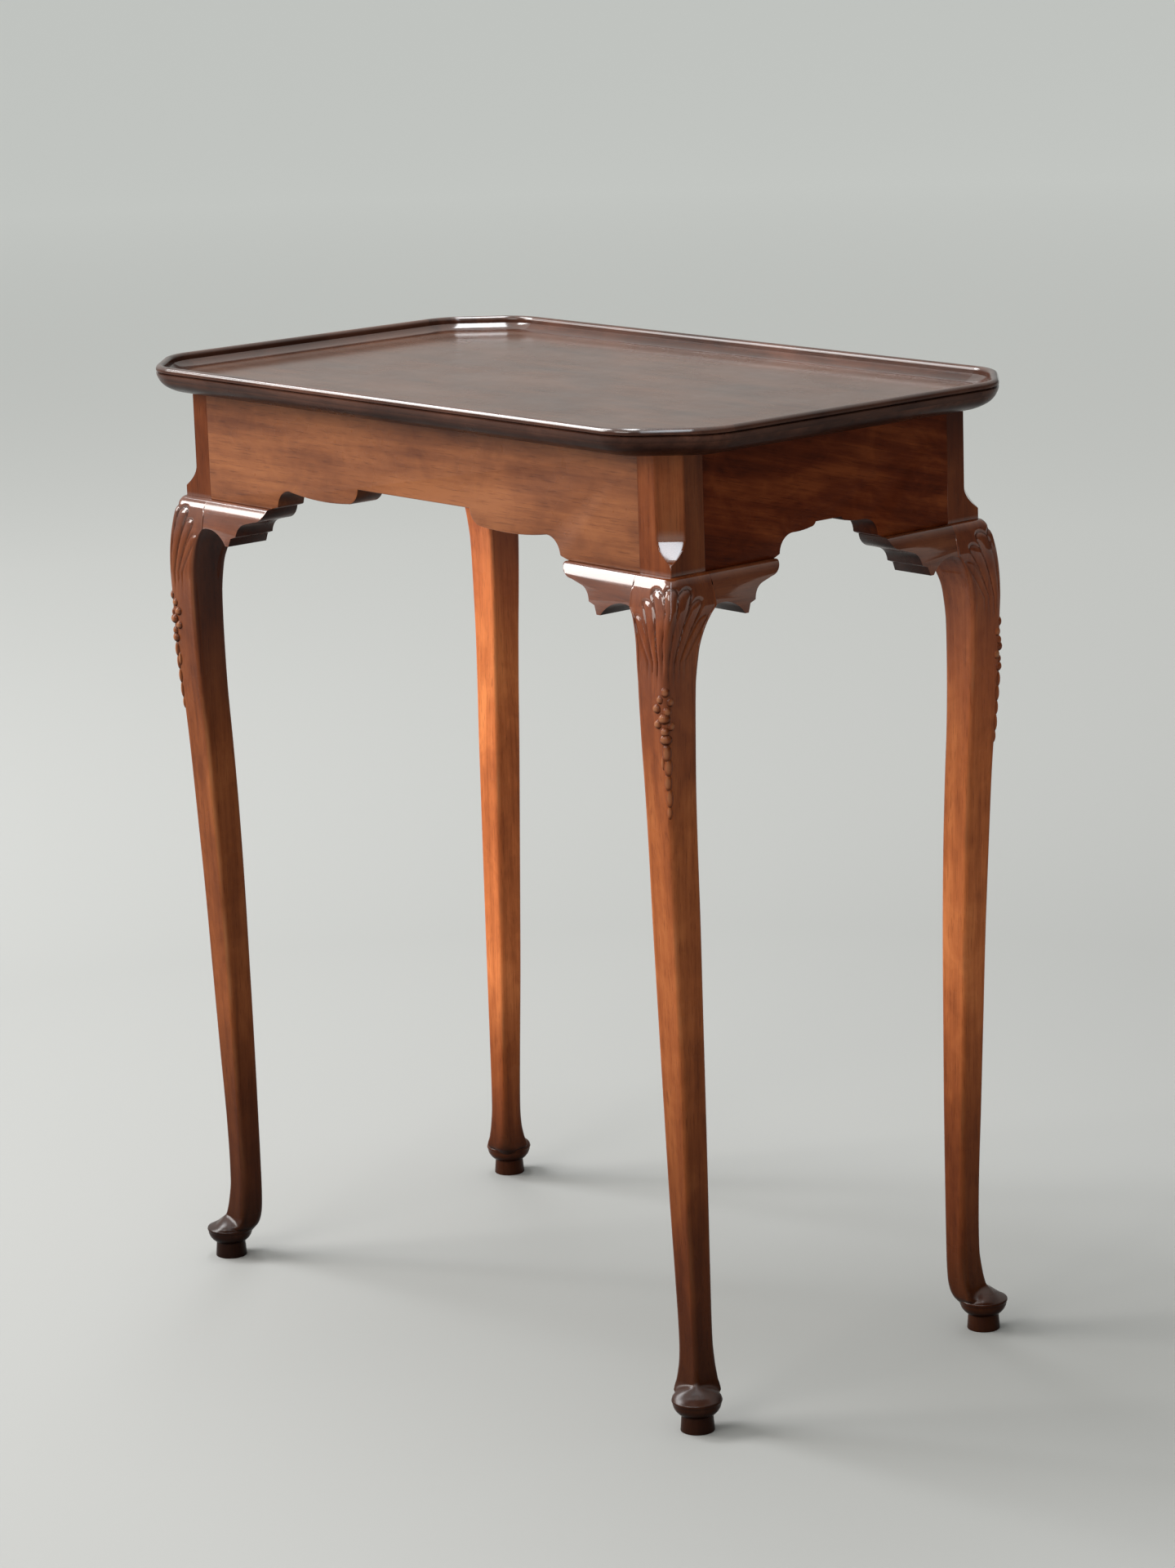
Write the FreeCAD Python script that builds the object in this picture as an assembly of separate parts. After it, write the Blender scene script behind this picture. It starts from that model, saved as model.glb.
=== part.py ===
import FreeCAD, Part
import math
import os

from FreeCAD import Vector

# A small tray top tea table on four cabriole legs. Lengths are millimetres, +Z is up, X runs along
# the long side and the front is at -Y. The origin is on the floor under the middle of the tray.

# Overall sizes
TABLE_HEIGHT = 660.0
FRAME_LENGTH = 508.0
FRAME_WIDTH = 275.0
TOP_OVERHANG = 32.0

# Tray board, with its canted corners and an edge that is rounded under. Each pair of shares gives a
# height in the board's thickness, from the underside up, and how far the edge is set in there.
BOARD_THICKNESS = 10.7
UNDER_ROUND_WIDTH = 22.0
UNDER_ROUND_SHARES = ((0.0, 1.0), (0.17, 0.57), (0.38, 0.345), (0.65, 0.175), (1.0, 0.06))
CANT_LEG = 44.0
CANT_RADIUS = 38.0

# Rim moulding: a bead on the outside, a narrow sunk quirk, then a cove down to the tray floor
RIM_HEIGHT = 9.3
RIM_WIDTH = 16.0
RIM_BEAD_WIDTH = 6.0
RIM_SIDE_SHARE = 0.27
RIM_QUIRK_WIDTH = 1.1
RIM_QUIRK_DEPTH = 1.7
RIM_LIP_HEIGHT = 0.8
COVE_MIDDLE_SHARES = (0.34, 0.36)

# Apron rails and their tenons
RAIL_DEPTH = 76.0
RAIL_THICKNESS = 23.0
TENON_INSET = 6.0
TENON_THICKNESS = 8.0
TENON_LENGTH = 13.0
TENON_SHOULDER = 9.0
TENON_CLEARANCE = 0.1
TENON_END_GAP = 0.5

# Scalloped lower edge of a rail, from the bracket in to the middle. Each point is a share of the
# half span between the brackets, and a share of the arch's rise above the knee line.
LONG_ARCH_RISE = 23.5
SHORT_ARCH_RISE = 18.5
LONG_SCALLOP_SHARES = {
    "hollow_foot": (0.950, 0.09),
    "hollow_middle": (0.925, 0.45),
    "hollow_head": (0.865, 0.61),
    "lobe_middle": (0.650, 0.48),
    "lobe_end": (0.455, 0.53),
    "step_middle": (0.395, 0.70),
    "step_head": (0.375, 1.00),
}
SHORT_SCALLOP_SHARES = {
    "hollow_foot": (0.900, 0.11),
    "hollow_middle": (0.830, 0.57),
    "hollow_head": (0.640, 0.77),
    "lobe_middle": (0.480, 0.78),
    "lobe_end": (0.330, 0.84),
    "step_middle": (0.265, 0.90),
    "step_head": (0.235, 1.00),
}

# Leg post, with a chamfered outer corner that ends in a lamb's tongue above the knee
POST_SIZE = 29.0
CHAMFER_LEG = 13.4
TONGUE_LENGTH = 15.5
TONGUE_STOP = 7.3

# Knee: a bullnose that stands out from the post below a narrow ledge
KNEE_LEDGE = 2.0
KNEE_PROJECTION = 10.8
KNEE_DROP = 44.0
KNEE_BLOCK_DEPTH = 20.0
KNEE_BLOCK_SHARES = (0.0, 0.04, 0.12, 0.25, 0.45, 0.70, 1.0)
KNEE_ARRIS_RADIUS = 6.0
KNEE_SIDE_RADIUS = 0.5

# Leg below the knee block. Each station has its height as a share of the leg under the block, the
# outer face as a share of the knee's projection (negative stands outside the post), the inner face
# as a share of the post, the shift from the short side to the long side as a share of the lean, and
# the rounding of the outer arris and of the other corners as shares of the arris radius.
ARRIS_RADIUS = 3.0
LEG_LEAN = 2.6
LEG_STATION_SHARES = (
    (0.991, -0.920, 0.870, 0.14, 1.95, 0.30),
    (0.980, -0.960, 0.765, 0.33, 1.85, 0.55),
    (0.967, -0.990, 0.685, 0.54, 1.75, 0.80),
    (0.952, -1.000, 0.628, 0.74, 1.65, 0.95),
    (0.930, -0.995, 0.595, 0.90, 1.55, 1.00),
    (0.900, -0.963, 0.579, 0.98, 1.40, 1.00),
    (0.846, -0.861, 0.577, 0.96, 1.25, 1.00),
    (0.780, -0.685, 0.593, 0.86, 1.10, 1.00),
    (0.715, -0.515, 0.632, 0.74, 1.00, 1.00),
    (0.625, -0.350, 0.676, 0.57, 1.00, 1.00),
    (0.515, -0.165, 0.706, 0.36, 1.00, 1.00),
    (0.404, -0.020, 0.718, 0.14, 1.00, 1.00),
    (0.294, 0.125, 0.727, -0.07, 1.00, 1.00),
    (0.184, 0.275, 0.727, -0.28, 1.00, 1.00),
    (0.105, 0.343, 0.724, -0.40, 1.00, 1.00),
)

# Turned pad foot, on an axis set in a little from both outer faces of the post
FOOT_INSET = 2.5
FOOT_LEAN_SHARE = -0.45
PAD_RADIUS = 10.9
PAD_NECK_RADIUS = 10.2
PAD_HEIGHT = 10.5
TOE_RADIUS = 16.0
TOE_HEIGHT = 24.0
TOE_DISH_RISE = 10.0
TOE_DISH_TIP = 1.2
TOE_LIP = 1.6
TOE_BOWL_SHARES = (0.62, 0.38)
TOE_DISH_SHARES = (0.36, 0.20)

# Heel of the foot, below the last leg station. Each station has its height as a share of the toe's
# height, the outer and inner faces as shares of the toe's radius, measured from the post's outer
# face, and the corner rounding as a share of the toe's radius.
HEEL_STATION_SHARES = (
    (1.75, 0.195, 1.295, 0.19),
    (1.33, 0.085, 1.240, 0.24),
    (1.00, -0.030, 1.090, 0.31),
    (0.74, -0.100, 0.950, 0.37),
    (0.44, -0.160, 0.720, 0.42),
)

# Knee brackets, measured from the side of the leg. Each point of the lower edge is a share of the
# bracket's length and of its drop below the knee line.
LONG_BRACKET_LENGTH = 69.0
SHORT_BRACKET_LENGTH = 60.0
BRACKET_DROP = 29.0
BRACKET_BACK = 23.0
BRACKET_END_RADIUS = 6.0
BRACKET_EDGE_SHARES = {
    "nose_middle": (0.955, 0.20),
    "nose_foot": (0.840, 0.32),
    "scoop_head": (0.690, 0.41),
    "scoop_middle": (0.605, 0.53),
    "scoop_foot": (0.565, 0.74),
    "shelf": (0.485, 0.80),
    "tip_outer": (0.450, 1.00),
    "tip_inner": (0.400, 1.00),
    "arch_middle": (0.250, 0.73),
}

# Corner blocks inside the frame, and the screws that hold the tray on
BLOCK_REACH = 40.0
BLOCK_HEIGHT = 24.0
SCREW_PLACE_SHARE = 0.275
SCREW_RADIUS = 1.9
SCREW_BITE = 7.0
SCREW_TIP = 3.0
SCREW_HEAD_RADIUS = 3.7
SCREW_HEAD_HEIGHT = 2.6
SCREW_SLOT_WIDTH = 0.8
SCREW_SLOT_DEPTH = 1.0
SCREW_CLEARANCE = 0.1

# One overrun serves all cuts
CUT_OVERRUN = 5.0

HALF_LENGTH = FRAME_LENGTH / 2
HALF_WIDTH = FRAME_WIDTH / 2
TRAY_FLOOR = TABLE_HEIGHT - RIM_HEIGHT
RAIL_TOP = TRAY_FLOOR - BOARD_THICKNESS
KNEE_LINE = RAIL_TOP - RAIL_DEPTH
BLOCK_BOTTOM = KNEE_LINE - KNEE_BLOCK_DEPTH
TRAY_HALF_LENGTH = HALF_LENGTH + TOP_OVERHANG
TRAY_HALF_WIDTH = HALF_WIDTH + TOP_OVERHANG

ORIGIN = Vector(0, 0, 0)
UP = Vector(0, 0, 1)
ALONG_X = Vector(1, 0, 0)
ALONG_Y = Vector(0, 1, 0)
CORNERS = {
    "front_left": (1, 1),
    "front_right": (-1, 1),
    "back_left": (1, -1),
    "back_right": (-1, -1),
}


def closed_face(start, steps):
    """A flat face. A step of one point is a line to it, a step of two is an arc through the first."""
    edges = []
    here = start
    for step in steps + [(start,)]:
        there = step[-1]
        if len(step) == 2:
            edges.append(Part.Arc(here, step[0], there).toShape())
        else:
            edges.append(Part.LineSegment(here, there).toShape())
        here = there
    return Part.Face(Part.Wire(edges))


def polygon_face(points):
    return Part.Face(Part.makePolygon(points + points[:1]))


def box_between(low, high):
    return Part.makeBox(high.x - low.x, high.y - low.y, high.z - low.z, low)


def at_corner(shape, corner):
    """Moves a piece made at a post's outer corner, with +X and +Y inwards, to one of the corners."""
    side_x, side_y = CORNERS[corner]
    placed = shape.translated(Vector(-HALF_LENGTH, -HALF_WIDTH, 0))
    if side_x < 0:
        placed = placed.mirror(ORIGIN, ALONG_X)
    if side_y < 0:
        placed = placed.mirror(ORIGIN, ALONG_Y)
    return placed


def swapped(shape):
    """The same piece on the other side of a corner: X and Y change places."""
    return shape.mirror(ORIGIN, ALONG_X - ALONG_Y)


def rounded_outline(points, radii):
    """A closed wire through the points, with a tangent arc at each of them."""
    edges = []
    last = None
    first = None
    count = len(points)
    for index in range(count):
        here = points[index]
        radius = radii[index]
        back = (points[index - 1] - here).normalize()
        ahead = (points[(index + 1) % count] - here).normalize()
        half_angle = back.getAngle(ahead) / 2
        reach = radius / math.tan(half_angle)
        centre_way = (back + ahead).normalize()
        middle = here + centre_way * (radius / math.sin(half_angle) - radius)
        start = here + back * reach
        end = here + ahead * reach
        if last is None:
            first = start
        else:
            edges.append(Part.LineSegment(last, start).toShape())
        edges.append(Part.Arc(start, middle, end).toShape())
        last = end
    edges.append(Part.LineSegment(last, first).toShape())
    return Part.Wire(edges)


def tray_outline(height, inset):
    """The canted tray outline, counter-clockwise, set in from the edge."""
    cant_inset = CANT_LEG + inset * math.tan(math.pi / 8)
    long_x, short_x = TRAY_HALF_LENGTH - inset, TRAY_HALF_LENGTH - cant_inset
    long_y, short_y = TRAY_HALF_WIDTH - inset, TRAY_HALF_WIDTH - cant_inset
    corners = [
        Vector(-short_x, -long_y, height),
        Vector(short_x, -long_y, height),
        Vector(long_x, -short_y, height),
        Vector(long_x, short_y, height),
        Vector(short_x, long_y, height),
        Vector(-short_x, long_y, height),
        Vector(-long_x, short_y, height),
        Vector(-long_x, -short_y, height),
    ]
    return rounded_outline(corners, [CANT_RADIUS - inset] * len(corners))


def screw_place():
    """Where the screw goes through a corner block, in the corner's own frame."""
    offset = POST_SIZE + BLOCK_REACH * SCREW_PLACE_SHARE
    return Vector(offset, offset, 0)


def edge_inset(inset_share):
    return UNDER_ROUND_WIDTH * inset_share


def make_tray_board():
    outlines = [tray_outline(RAIL_TOP + BOARD_THICKNESS * up_share, edge_inset(inset_share))
                for up_share, inset_share in UNDER_ROUND_SHARES]
    board = Part.makeLoft(outlines, True, True)
    for corner in CORNERS:
        pilot = Part.makeCylinder(SCREW_RADIUS + SCREW_CLEARANCE, SCREW_BITE + SCREW_CLEARANCE,
                                  screw_place() + UP * RAIL_TOP)
        board = board.cut(at_corner(pilot, corner))
    return board


def rim_section(place):
    """The rim moulding's section. place turns a distance in from the edge and a height into a point."""
    foot = edge_inset(UNDER_ROUND_SHARES[-1][1])
    bead_radius = RIM_BEAD_WIDTH / 2
    bead_side = RIM_HEIGHT - bead_radius
    quirk_floor = bead_side - RIM_QUIRK_DEPTH
    cove_start = RIM_BEAD_WIDTH + RIM_QUIRK_WIDTH
    cove_width = RIM_WIDTH - cove_start
    cove_drop = quirk_floor - RIM_LIP_HEIGHT
    across_share, up_share = COVE_MIDDLE_SHARES
    cove_middle = place(cove_start + cove_width * across_share, RIM_LIP_HEIGHT + cove_drop * up_share)
    return closed_face(place(foot, 0), [
        (place(foot * RIM_SIDE_SHARE, bead_side / 2), place(0, bead_side)),
        (place(bead_radius, RIM_HEIGHT), place(RIM_BEAD_WIDTH, bead_side)),
        (place(RIM_BEAD_WIDTH, quirk_floor),),
        (place(cove_start, quirk_floor),),
        (cove_middle, place(RIM_WIDTH, RIM_LIP_HEIGHT)),
        (place(RIM_WIDTH, 0),),
    ])


def cant_reach():
    """How far a softening arc runs along a side from the point where side and cant would meet."""
    return CANT_RADIUS * math.tan(math.pi / 8)


def make_rim_front():
    half = TRAY_HALF_LENGTH - CANT_LEG - cant_reach()
    section = rim_section(lambda inset, up: Vector(-half, inset - TRAY_HALF_WIDTH, TRAY_FLOOR + up))
    return section.extrude(ALONG_X * (half * 2))


def make_rim_left():
    half = TRAY_HALF_WIDTH - CANT_LEG - cant_reach()
    section = rim_section(lambda inset, up: Vector(inset - TRAY_HALF_LENGTH, -half, TRAY_FLOOR + up))
    return section.extrude(ALONG_Y * (half * 2))


def make_rim_corner():
    """The front left corner moulding: an arc off each side and a straight cant between them."""
    eighth_turn = 45
    start_x = -(TRAY_HALF_LENGTH - CANT_LEG - cant_reach())
    pivot = Vector(start_x, CANT_RADIUS - TRAY_HALF_WIDTH, TRAY_FLOOR)
    section = rim_section(lambda inset, up: Vector(start_x, inset - TRAY_HALF_WIDTH, TRAY_FLOOR + up))
    first_arc = section.revolve(pivot, UP, -eighth_turn)
    turned = section.rotated(pivot, UP, -eighth_turn)
    cant_run = CANT_LEG * math.sqrt(2) - cant_reach() * 2
    cant_way = (ALONG_Y - ALONG_X).normalize()
    cant = turned.extrude(cant_way * cant_run)
    second_pivot = pivot + cant_way * cant_run
    second_arc = turned.translated(cant_way * cant_run).revolve(second_pivot, UP, -eighth_turn)
    return first_arc.fuse([cant, second_arc]).removeSplitter()


def tenon_low():
    """The lowest corner of a tenon, in the frame of a rail that runs along X from a shoulder at 0."""
    return Vector(-TENON_LENGTH, TENON_INSET, KNEE_LINE + TENON_SHOULDER)


def tenon_high():
    return Vector(0, TENON_INSET + TENON_THICKNESS, RAIL_TOP - TENON_SHOULDER)


def make_rail(frame_size, bracket_length, rise, shares):
    """A rail along X, centred, with its outer face at Y zero and its inner face towards +Y."""
    half = frame_size / 2 - POST_SIZE
    span = half - bracket_length

    def point(name, side):
        along_share, up_share = shares[name]
        return Vector(side * span * along_share, 0, KNEE_LINE + rise * up_share)

    steps = [
        (Vector(half, 0, RAIL_TOP),),
        (Vector(half, 0, KNEE_LINE),),
        (Vector(span, 0, KNEE_LINE),),
        (point("hollow_foot", 1),),
        (point("hollow_middle", 1), point("hollow_head", 1)),
        (point("lobe_middle", 1), point("lobe_end", 1)),
        (point("step_middle", 1), point("step_head", 1)),
        (point("step_head", -1),),
        (point("step_middle", -1), point("lobe_end", -1)),
        (point("lobe_middle", -1), point("hollow_head", -1)),
        (point("hollow_middle", -1), point("hollow_foot", -1)),
        (Vector(-span, 0, KNEE_LINE),),
        (Vector(-half, 0, KNEE_LINE),),
    ]
    rail = closed_face(Vector(-half, 0, RAIL_TOP), steps).extrude(ALONG_Y * RAIL_THICKNESS)
    tenon = box_between(tenon_low(), tenon_high()).translated(Vector(-half, 0, 0))
    return rail.fuse([tenon, tenon.mirror(ORIGIN, ALONG_X)]).removeSplitter()


def make_rail_front():
    rail = make_rail(FRAME_LENGTH, LONG_BRACKET_LENGTH, LONG_ARCH_RISE, LONG_SCALLOP_SHARES)
    return rail.translated(Vector(0, -HALF_WIDTH, 0))


def make_rail_left():
    rail = make_rail(FRAME_WIDTH, SHORT_BRACKET_LENGTH, SHORT_ARCH_RISE, SHORT_SCALLOP_SHARES)
    return rail.rotated(ORIGIN, UP, -90).translated(Vector(-HALF_LENGTH, 0, 0))


def knee_offset(drop):
    """How far the bullnose stands outside the post's face at a drop below the knee line."""
    left_share = 1 - drop / KNEE_DROP
    return KNEE_LEDGE + (KNEE_PROJECTION - KNEE_LEDGE) * math.sqrt(1 - left_share ** 2)


def bullnose(start_x, end_x, back):
    """A bar along X with the knee's rounded front, from the front to a flat back."""
    middle = KNEE_LINE - KNEE_DROP
    head = Vector(start_x, -KNEE_LEDGE, KNEE_LINE)
    foot = Vector(start_x, -KNEE_PROJECTION, middle)
    ellipse = Part.Ellipse(head, foot, Vector(start_x, -KNEE_LEDGE, middle))
    back_foot = Vector(start_x, back, middle)
    back_head = Vector(start_x, back, KNEE_LINE)
    edges = [
        Part.ArcOfEllipse(ellipse, 0, math.pi / 2).toShape(),
        Part.LineSegment(foot, back_foot).toShape(),
        Part.LineSegment(back_foot, back_head).toShape(),
        Part.LineSegment(back_head, head).toShape(),
    ]
    return Part.Face(Part.Wire(edges)).extrude(ALONG_X * (end_x - start_x))


def leg_section(height, outer, inner, lean, radii):
    """A level square wire with rounded corners, from outer to inner, shifted by the lean."""
    corners = [
        Vector(outer, outer, height),
        Vector(inner, outer, height),
        Vector(inner, inner, height),
        Vector(outer, inner, height),
    ]
    shift = (ALONG_X - ALONG_Y) * lean
    return rounded_outline([corner + shift for corner in corners], radii)


def make_post():
    """The post, with its outer corner chamfered down to a lamb's tongue."""
    post = box_between(Vector(0, 0, KNEE_LINE), Vector(POST_SIZE, POST_SIZE, RAIL_TOP))
    inwards = (ALONG_X + ALONG_Y).normalize()
    across = (ALONG_X - ALONG_Y).normalize()
    depth = CHAMFER_LEG / math.sqrt(2)
    stop = KNEE_LINE + TONGUE_STOP
    curve_top = stop + TONGUE_LENGTH
    top = RAIL_TOP + CUT_OVERRUN
    half_cut = CHAMFER_LEG + CUT_OVERRUN
    quarter_depth = depth / 4

    def point(inset, height):
        return inwards * inset + UP * height - across * half_cut

    tongue_middle = point(depth - quarter_depth, curve_top - TONGUE_LENGTH / 2)
    cut = closed_face(point(depth, top), [
        (point(depth, curve_top),),
        (tongue_middle, point(0, stop)),
        (point(-CUT_OVERRUN, stop),),
        (point(-CUT_OVERRUN, top),),
    ]).extrude(across * (half_cut * 2))
    return post.cut(cut)


def knee_section(drop):
    radii = [KNEE_ARRIS_RADIUS, KNEE_SIDE_RADIUS, KNEE_SIDE_RADIUS, KNEE_SIDE_RADIUS]
    return leg_section(KNEE_LINE - drop, -knee_offset(drop), POST_SIZE, 0, radii)


def make_knee_block():
    """The top of the knee, with its bullnose on both outer faces and flat sides for the brackets."""
    sections = [knee_section(KNEE_BLOCK_DEPTH * share) for share in KNEE_BLOCK_SHARES]
    return Part.makeLoft(sections, True, False)


def make_shank():
    """The slim square leg from the knee block down to the heel."""
    sections = [knee_section(KNEE_BLOCK_DEPTH)]
    for height, outer, inner, lean, arris, other in LEG_STATION_SHARES:
        others = [ARRIS_RADIUS * other] * 3
        sections.append(leg_section(BLOCK_BOTTOM * height, KNEE_PROJECTION * outer, POST_SIZE * inner,
                                    LEG_LEAN * lean, [ARRIS_RADIUS * arris] + others))
    for height, outer, inner, radius in HEEL_STATION_SHARES:
        sections.append(leg_section(TOE_HEIGHT * height, TOE_RADIUS * outer, TOE_RADIUS * inner,
                                    LEG_LEAN * FOOT_LEAN_SHARE, [TOE_RADIUS * radius] * 4))
    return Part.makeLoft(sections, True, False)


def make_foot():
    """The turned foot: a pad, a bowl that swells to the toe's rim, and a dished top."""
    axis = Vector(FOOT_INSET, FOOT_INSET, 0) + (ALONG_X - ALONG_Y) * (LEG_LEAN * FOOT_LEAN_SHARE)

    def point(radius, height):
        return axis + Vector(radius, 0, height)

    rim_top = TOE_HEIGHT + TOE_LIP
    lip_radius = TOE_RADIUS - TOE_LIP / 2
    dish_top = rim_top + TOE_DISH_RISE
    bowl_out, bowl_up = TOE_BOWL_SHARES
    bowl_middle = point(PAD_NECK_RADIUS + (TOE_RADIUS - PAD_NECK_RADIUS) * bowl_out,
                        PAD_HEIGHT + (TOE_HEIGHT - PAD_HEIGHT) * bowl_up)
    dish_out, dish_up = TOE_DISH_SHARES
    dish_middle = point(lip_radius * dish_out, rim_top + TOE_DISH_RISE * dish_up)
    half_lip = TOE_LIP / 2
    lip_bulge = point(TOE_RADIUS, TOE_HEIGHT + half_lip)
    section = closed_face(point(0, 0), [
        (point(PAD_RADIUS, 0),),
        (point(PAD_NECK_RADIUS, PAD_HEIGHT),),
        (bowl_middle, point(lip_radius, TOE_HEIGHT)),
        (lip_bulge, point(lip_radius, rim_top)),
        (dish_middle, point(TOE_DISH_TIP, dish_top)),
        (point(0, dish_top),),
    ])
    return section.revolve(axis, UP, 360)


def make_mortise():
    """The hole in a post for the tenon of the rail that runs along X."""
    gap = Vector(TENON_END_GAP, TENON_CLEARANCE, TENON_CLEARANCE)
    overrun = Vector(CUT_OVERRUN, TENON_CLEARANCE, TENON_CLEARANCE)
    hole = box_between(tenon_low() - gap, tenon_high() + overrun)
    return hole.translated(Vector(POST_SIZE, 0, 0))


def make_leg():
    leg = make_post().fuse([make_knee_block(), make_shank(), make_foot()])
    mortise = make_mortise()
    return leg.cut(mortise).cut(swapped(mortise)).removeSplitter()


def make_bracket(length):
    """A knee bracket beside the leg, along X, under the front rail."""
    def point(name):
        along_share, drop_share = BRACKET_EDGE_SHARES[name]
        return Vector(POST_SIZE + length * along_share, -KNEE_PROJECTION,
                      KNEE_LINE - BRACKET_DROP * drop_share)

    end = POST_SIZE + length
    side = closed_face(Vector(POST_SIZE, -KNEE_PROJECTION, KNEE_LINE), [
        (Vector(end, -KNEE_PROJECTION, KNEE_LINE),),
        (point("nose_middle"), point("nose_foot")),
        (point("scoop_head"),),
        (point("scoop_middle"), point("scoop_foot")),
        (point("shelf"),),
        (point("tip_outer"),),
        (point("tip_inner"),),
        (point("arch_middle"), Vector(POST_SIZE, -KNEE_PROJECTION, BLOCK_BOTTOM)),
    ]).extrude(ALONG_Y * (KNEE_PROJECTION + BRACKET_BACK))
    bracket = side.common(bullnose(POST_SIZE, end, BRACKET_BACK))
    keep = box_between(Vector(POST_SIZE, -KNEE_PROJECTION, KNEE_LINE - BRACKET_DROP),
                       Vector(end, BRACKET_BACK, KNEE_LINE))
    end_edges = [edge for edge in keep.Edges
                 if edge.BoundBox.XMin > end - BRACKET_END_RADIUS
                 and edge.BoundBox.YMax < BRACKET_BACK / 2
                 and edge.BoundBox.ZLength > BRACKET_DROP / 2]
    return bracket.common(keep.makeFillet(BRACKET_END_RADIUS, end_edges))


def make_corner_block():
    """A block in the corner of the frame, cut away round the post, with a hole for the screw."""
    face = RAIL_THICKNESS
    far = POST_SIZE + BLOCK_REACH
    bottom = RAIL_TOP - BLOCK_HEIGHT
    block = polygon_face([
        Vector(face, POST_SIZE, bottom),
        Vector(POST_SIZE, POST_SIZE, bottom),
        Vector(POST_SIZE, face, bottom),
        Vector(far, face, bottom),
        Vector(face, far, bottom),
    ]).extrude(UP * BLOCK_HEIGHT)
    hole = Part.makeCylinder(SCREW_RADIUS + SCREW_CLEARANCE, BLOCK_HEIGHT, screw_place() + UP * bottom)
    return block.cut(hole)


def make_screw():
    """A round-head screw with a slot, from under a corner block up into the board."""
    seat = RAIL_TOP - BLOCK_HEIGHT
    end = RAIL_TOP + SCREW_BITE
    place = screw_place()

    def point(radius, height):
        return place + Vector(radius, 0, height)

    dome_middle = point(SCREW_HEAD_RADIUS * math.sqrt(0.5), seat - SCREW_HEAD_HEIGHT * math.sqrt(0.5))
    section = closed_face(point(0, seat - SCREW_HEAD_HEIGHT), [
        (dome_middle, point(SCREW_HEAD_RADIUS, seat)),
        (point(SCREW_RADIUS, seat),),
        (point(SCREW_RADIUS, end - SCREW_TIP),),
        (point(0, end),),
    ])
    screw = section.revolve(place, UP, 360)
    half_slot = Vector(SCREW_SLOT_WIDTH / 2, SCREW_HEAD_RADIUS + CUT_OVERRUN, 0)
    slot_floor = seat - SCREW_HEAD_HEIGHT + SCREW_SLOT_DEPTH
    slot = box_between(place - half_slot + UP * (seat - SCREW_HEAD_HEIGHT - CUT_OVERRUN),
                       place + half_slot + UP * slot_floor)
    return screw.cut(slot)


def corner_pieces():
    """The pieces that repeat at the four corners, by name."""
    leg = make_leg()
    long_bracket = make_bracket(LONG_BRACKET_LENGTH)
    short_bracket = swapped(make_bracket(SHORT_BRACKET_LENGTH))
    block = make_corner_block()
    rim_corner = make_rim_corner().translated(Vector(HALF_LENGTH, HALF_WIDTH, 0))
    pieces = {}
    for corner in CORNERS:
        pieces["leg_" + corner] = at_corner(leg, corner)
        pieces["bracket_" + corner + "_long"] = at_corner(long_bracket, corner)
        pieces["bracket_" + corner + "_short"] = at_corner(short_bracket, corner)
        pieces["corner_block_" + corner] = at_corner(block, corner)
        pieces["rim_corner_" + corner] = at_corner(rim_corner, corner)
    return pieces


def side_pieces():
    """The pieces that repeat on opposite sides, by name."""
    pieces = {}
    for name, front, left in (("rail", make_rail_front(), make_rail_left()),
                              ("rim", make_rim_front(), make_rim_left())):
        pieces[name + "_front"] = front
        pieces[name + "_back"] = front.mirror(ORIGIN, ALONG_Y)
        pieces[name + "_left"] = left
        pieces[name + "_right"] = left.mirror(ORIGIN, ALONG_X)
    return pieces


def main():
    os.makedirs("parts", exist_ok=True)
    screw = make_screw()
    pieces = {"tray_board": make_tray_board()}
    pieces.update(side_pieces())
    pieces.update(corner_pieces())
    pieces["top_screws"] = Part.makeCompound([at_corner(screw, corner) for corner in CORNERS])
    for name, shape in pieces.items():
        shape.exportStep(os.path.join("parts", name + ".step"))


main()
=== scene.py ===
import math

import bmesh
import bpy
from mathutils import Matrix, Vector


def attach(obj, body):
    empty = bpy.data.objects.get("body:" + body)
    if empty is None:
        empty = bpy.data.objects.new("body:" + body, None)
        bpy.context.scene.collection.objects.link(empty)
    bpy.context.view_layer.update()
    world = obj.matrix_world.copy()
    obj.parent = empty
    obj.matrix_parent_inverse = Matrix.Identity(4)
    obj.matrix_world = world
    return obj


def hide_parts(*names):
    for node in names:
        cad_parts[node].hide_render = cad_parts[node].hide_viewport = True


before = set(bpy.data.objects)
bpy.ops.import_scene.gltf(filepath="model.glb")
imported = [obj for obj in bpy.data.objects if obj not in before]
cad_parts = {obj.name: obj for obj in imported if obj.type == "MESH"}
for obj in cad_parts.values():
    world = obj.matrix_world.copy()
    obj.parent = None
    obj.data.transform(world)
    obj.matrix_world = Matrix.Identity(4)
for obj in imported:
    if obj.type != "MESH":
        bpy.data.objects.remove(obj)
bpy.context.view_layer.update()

# A tray top tea table in polished mahogany. Shapes are drawn in millimetres and scaled to metres at
# the end. Corner pieces are drawn at the front left post, whose outer corner is the origin, with +X
# and +Y inwards.
MM = 0.001
AXIS_X = Vector((1, 0, 0))
AXIS_Y = Vector((0, 1, 0))
AXIS_Z = Vector((0, 0, 1))
CORNERS = {
    "front_left": (1, 1),
    "front_right": (-1, 1),
    "back_left": (1, -1),
    "back_right": (-1, -1),
}

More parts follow.
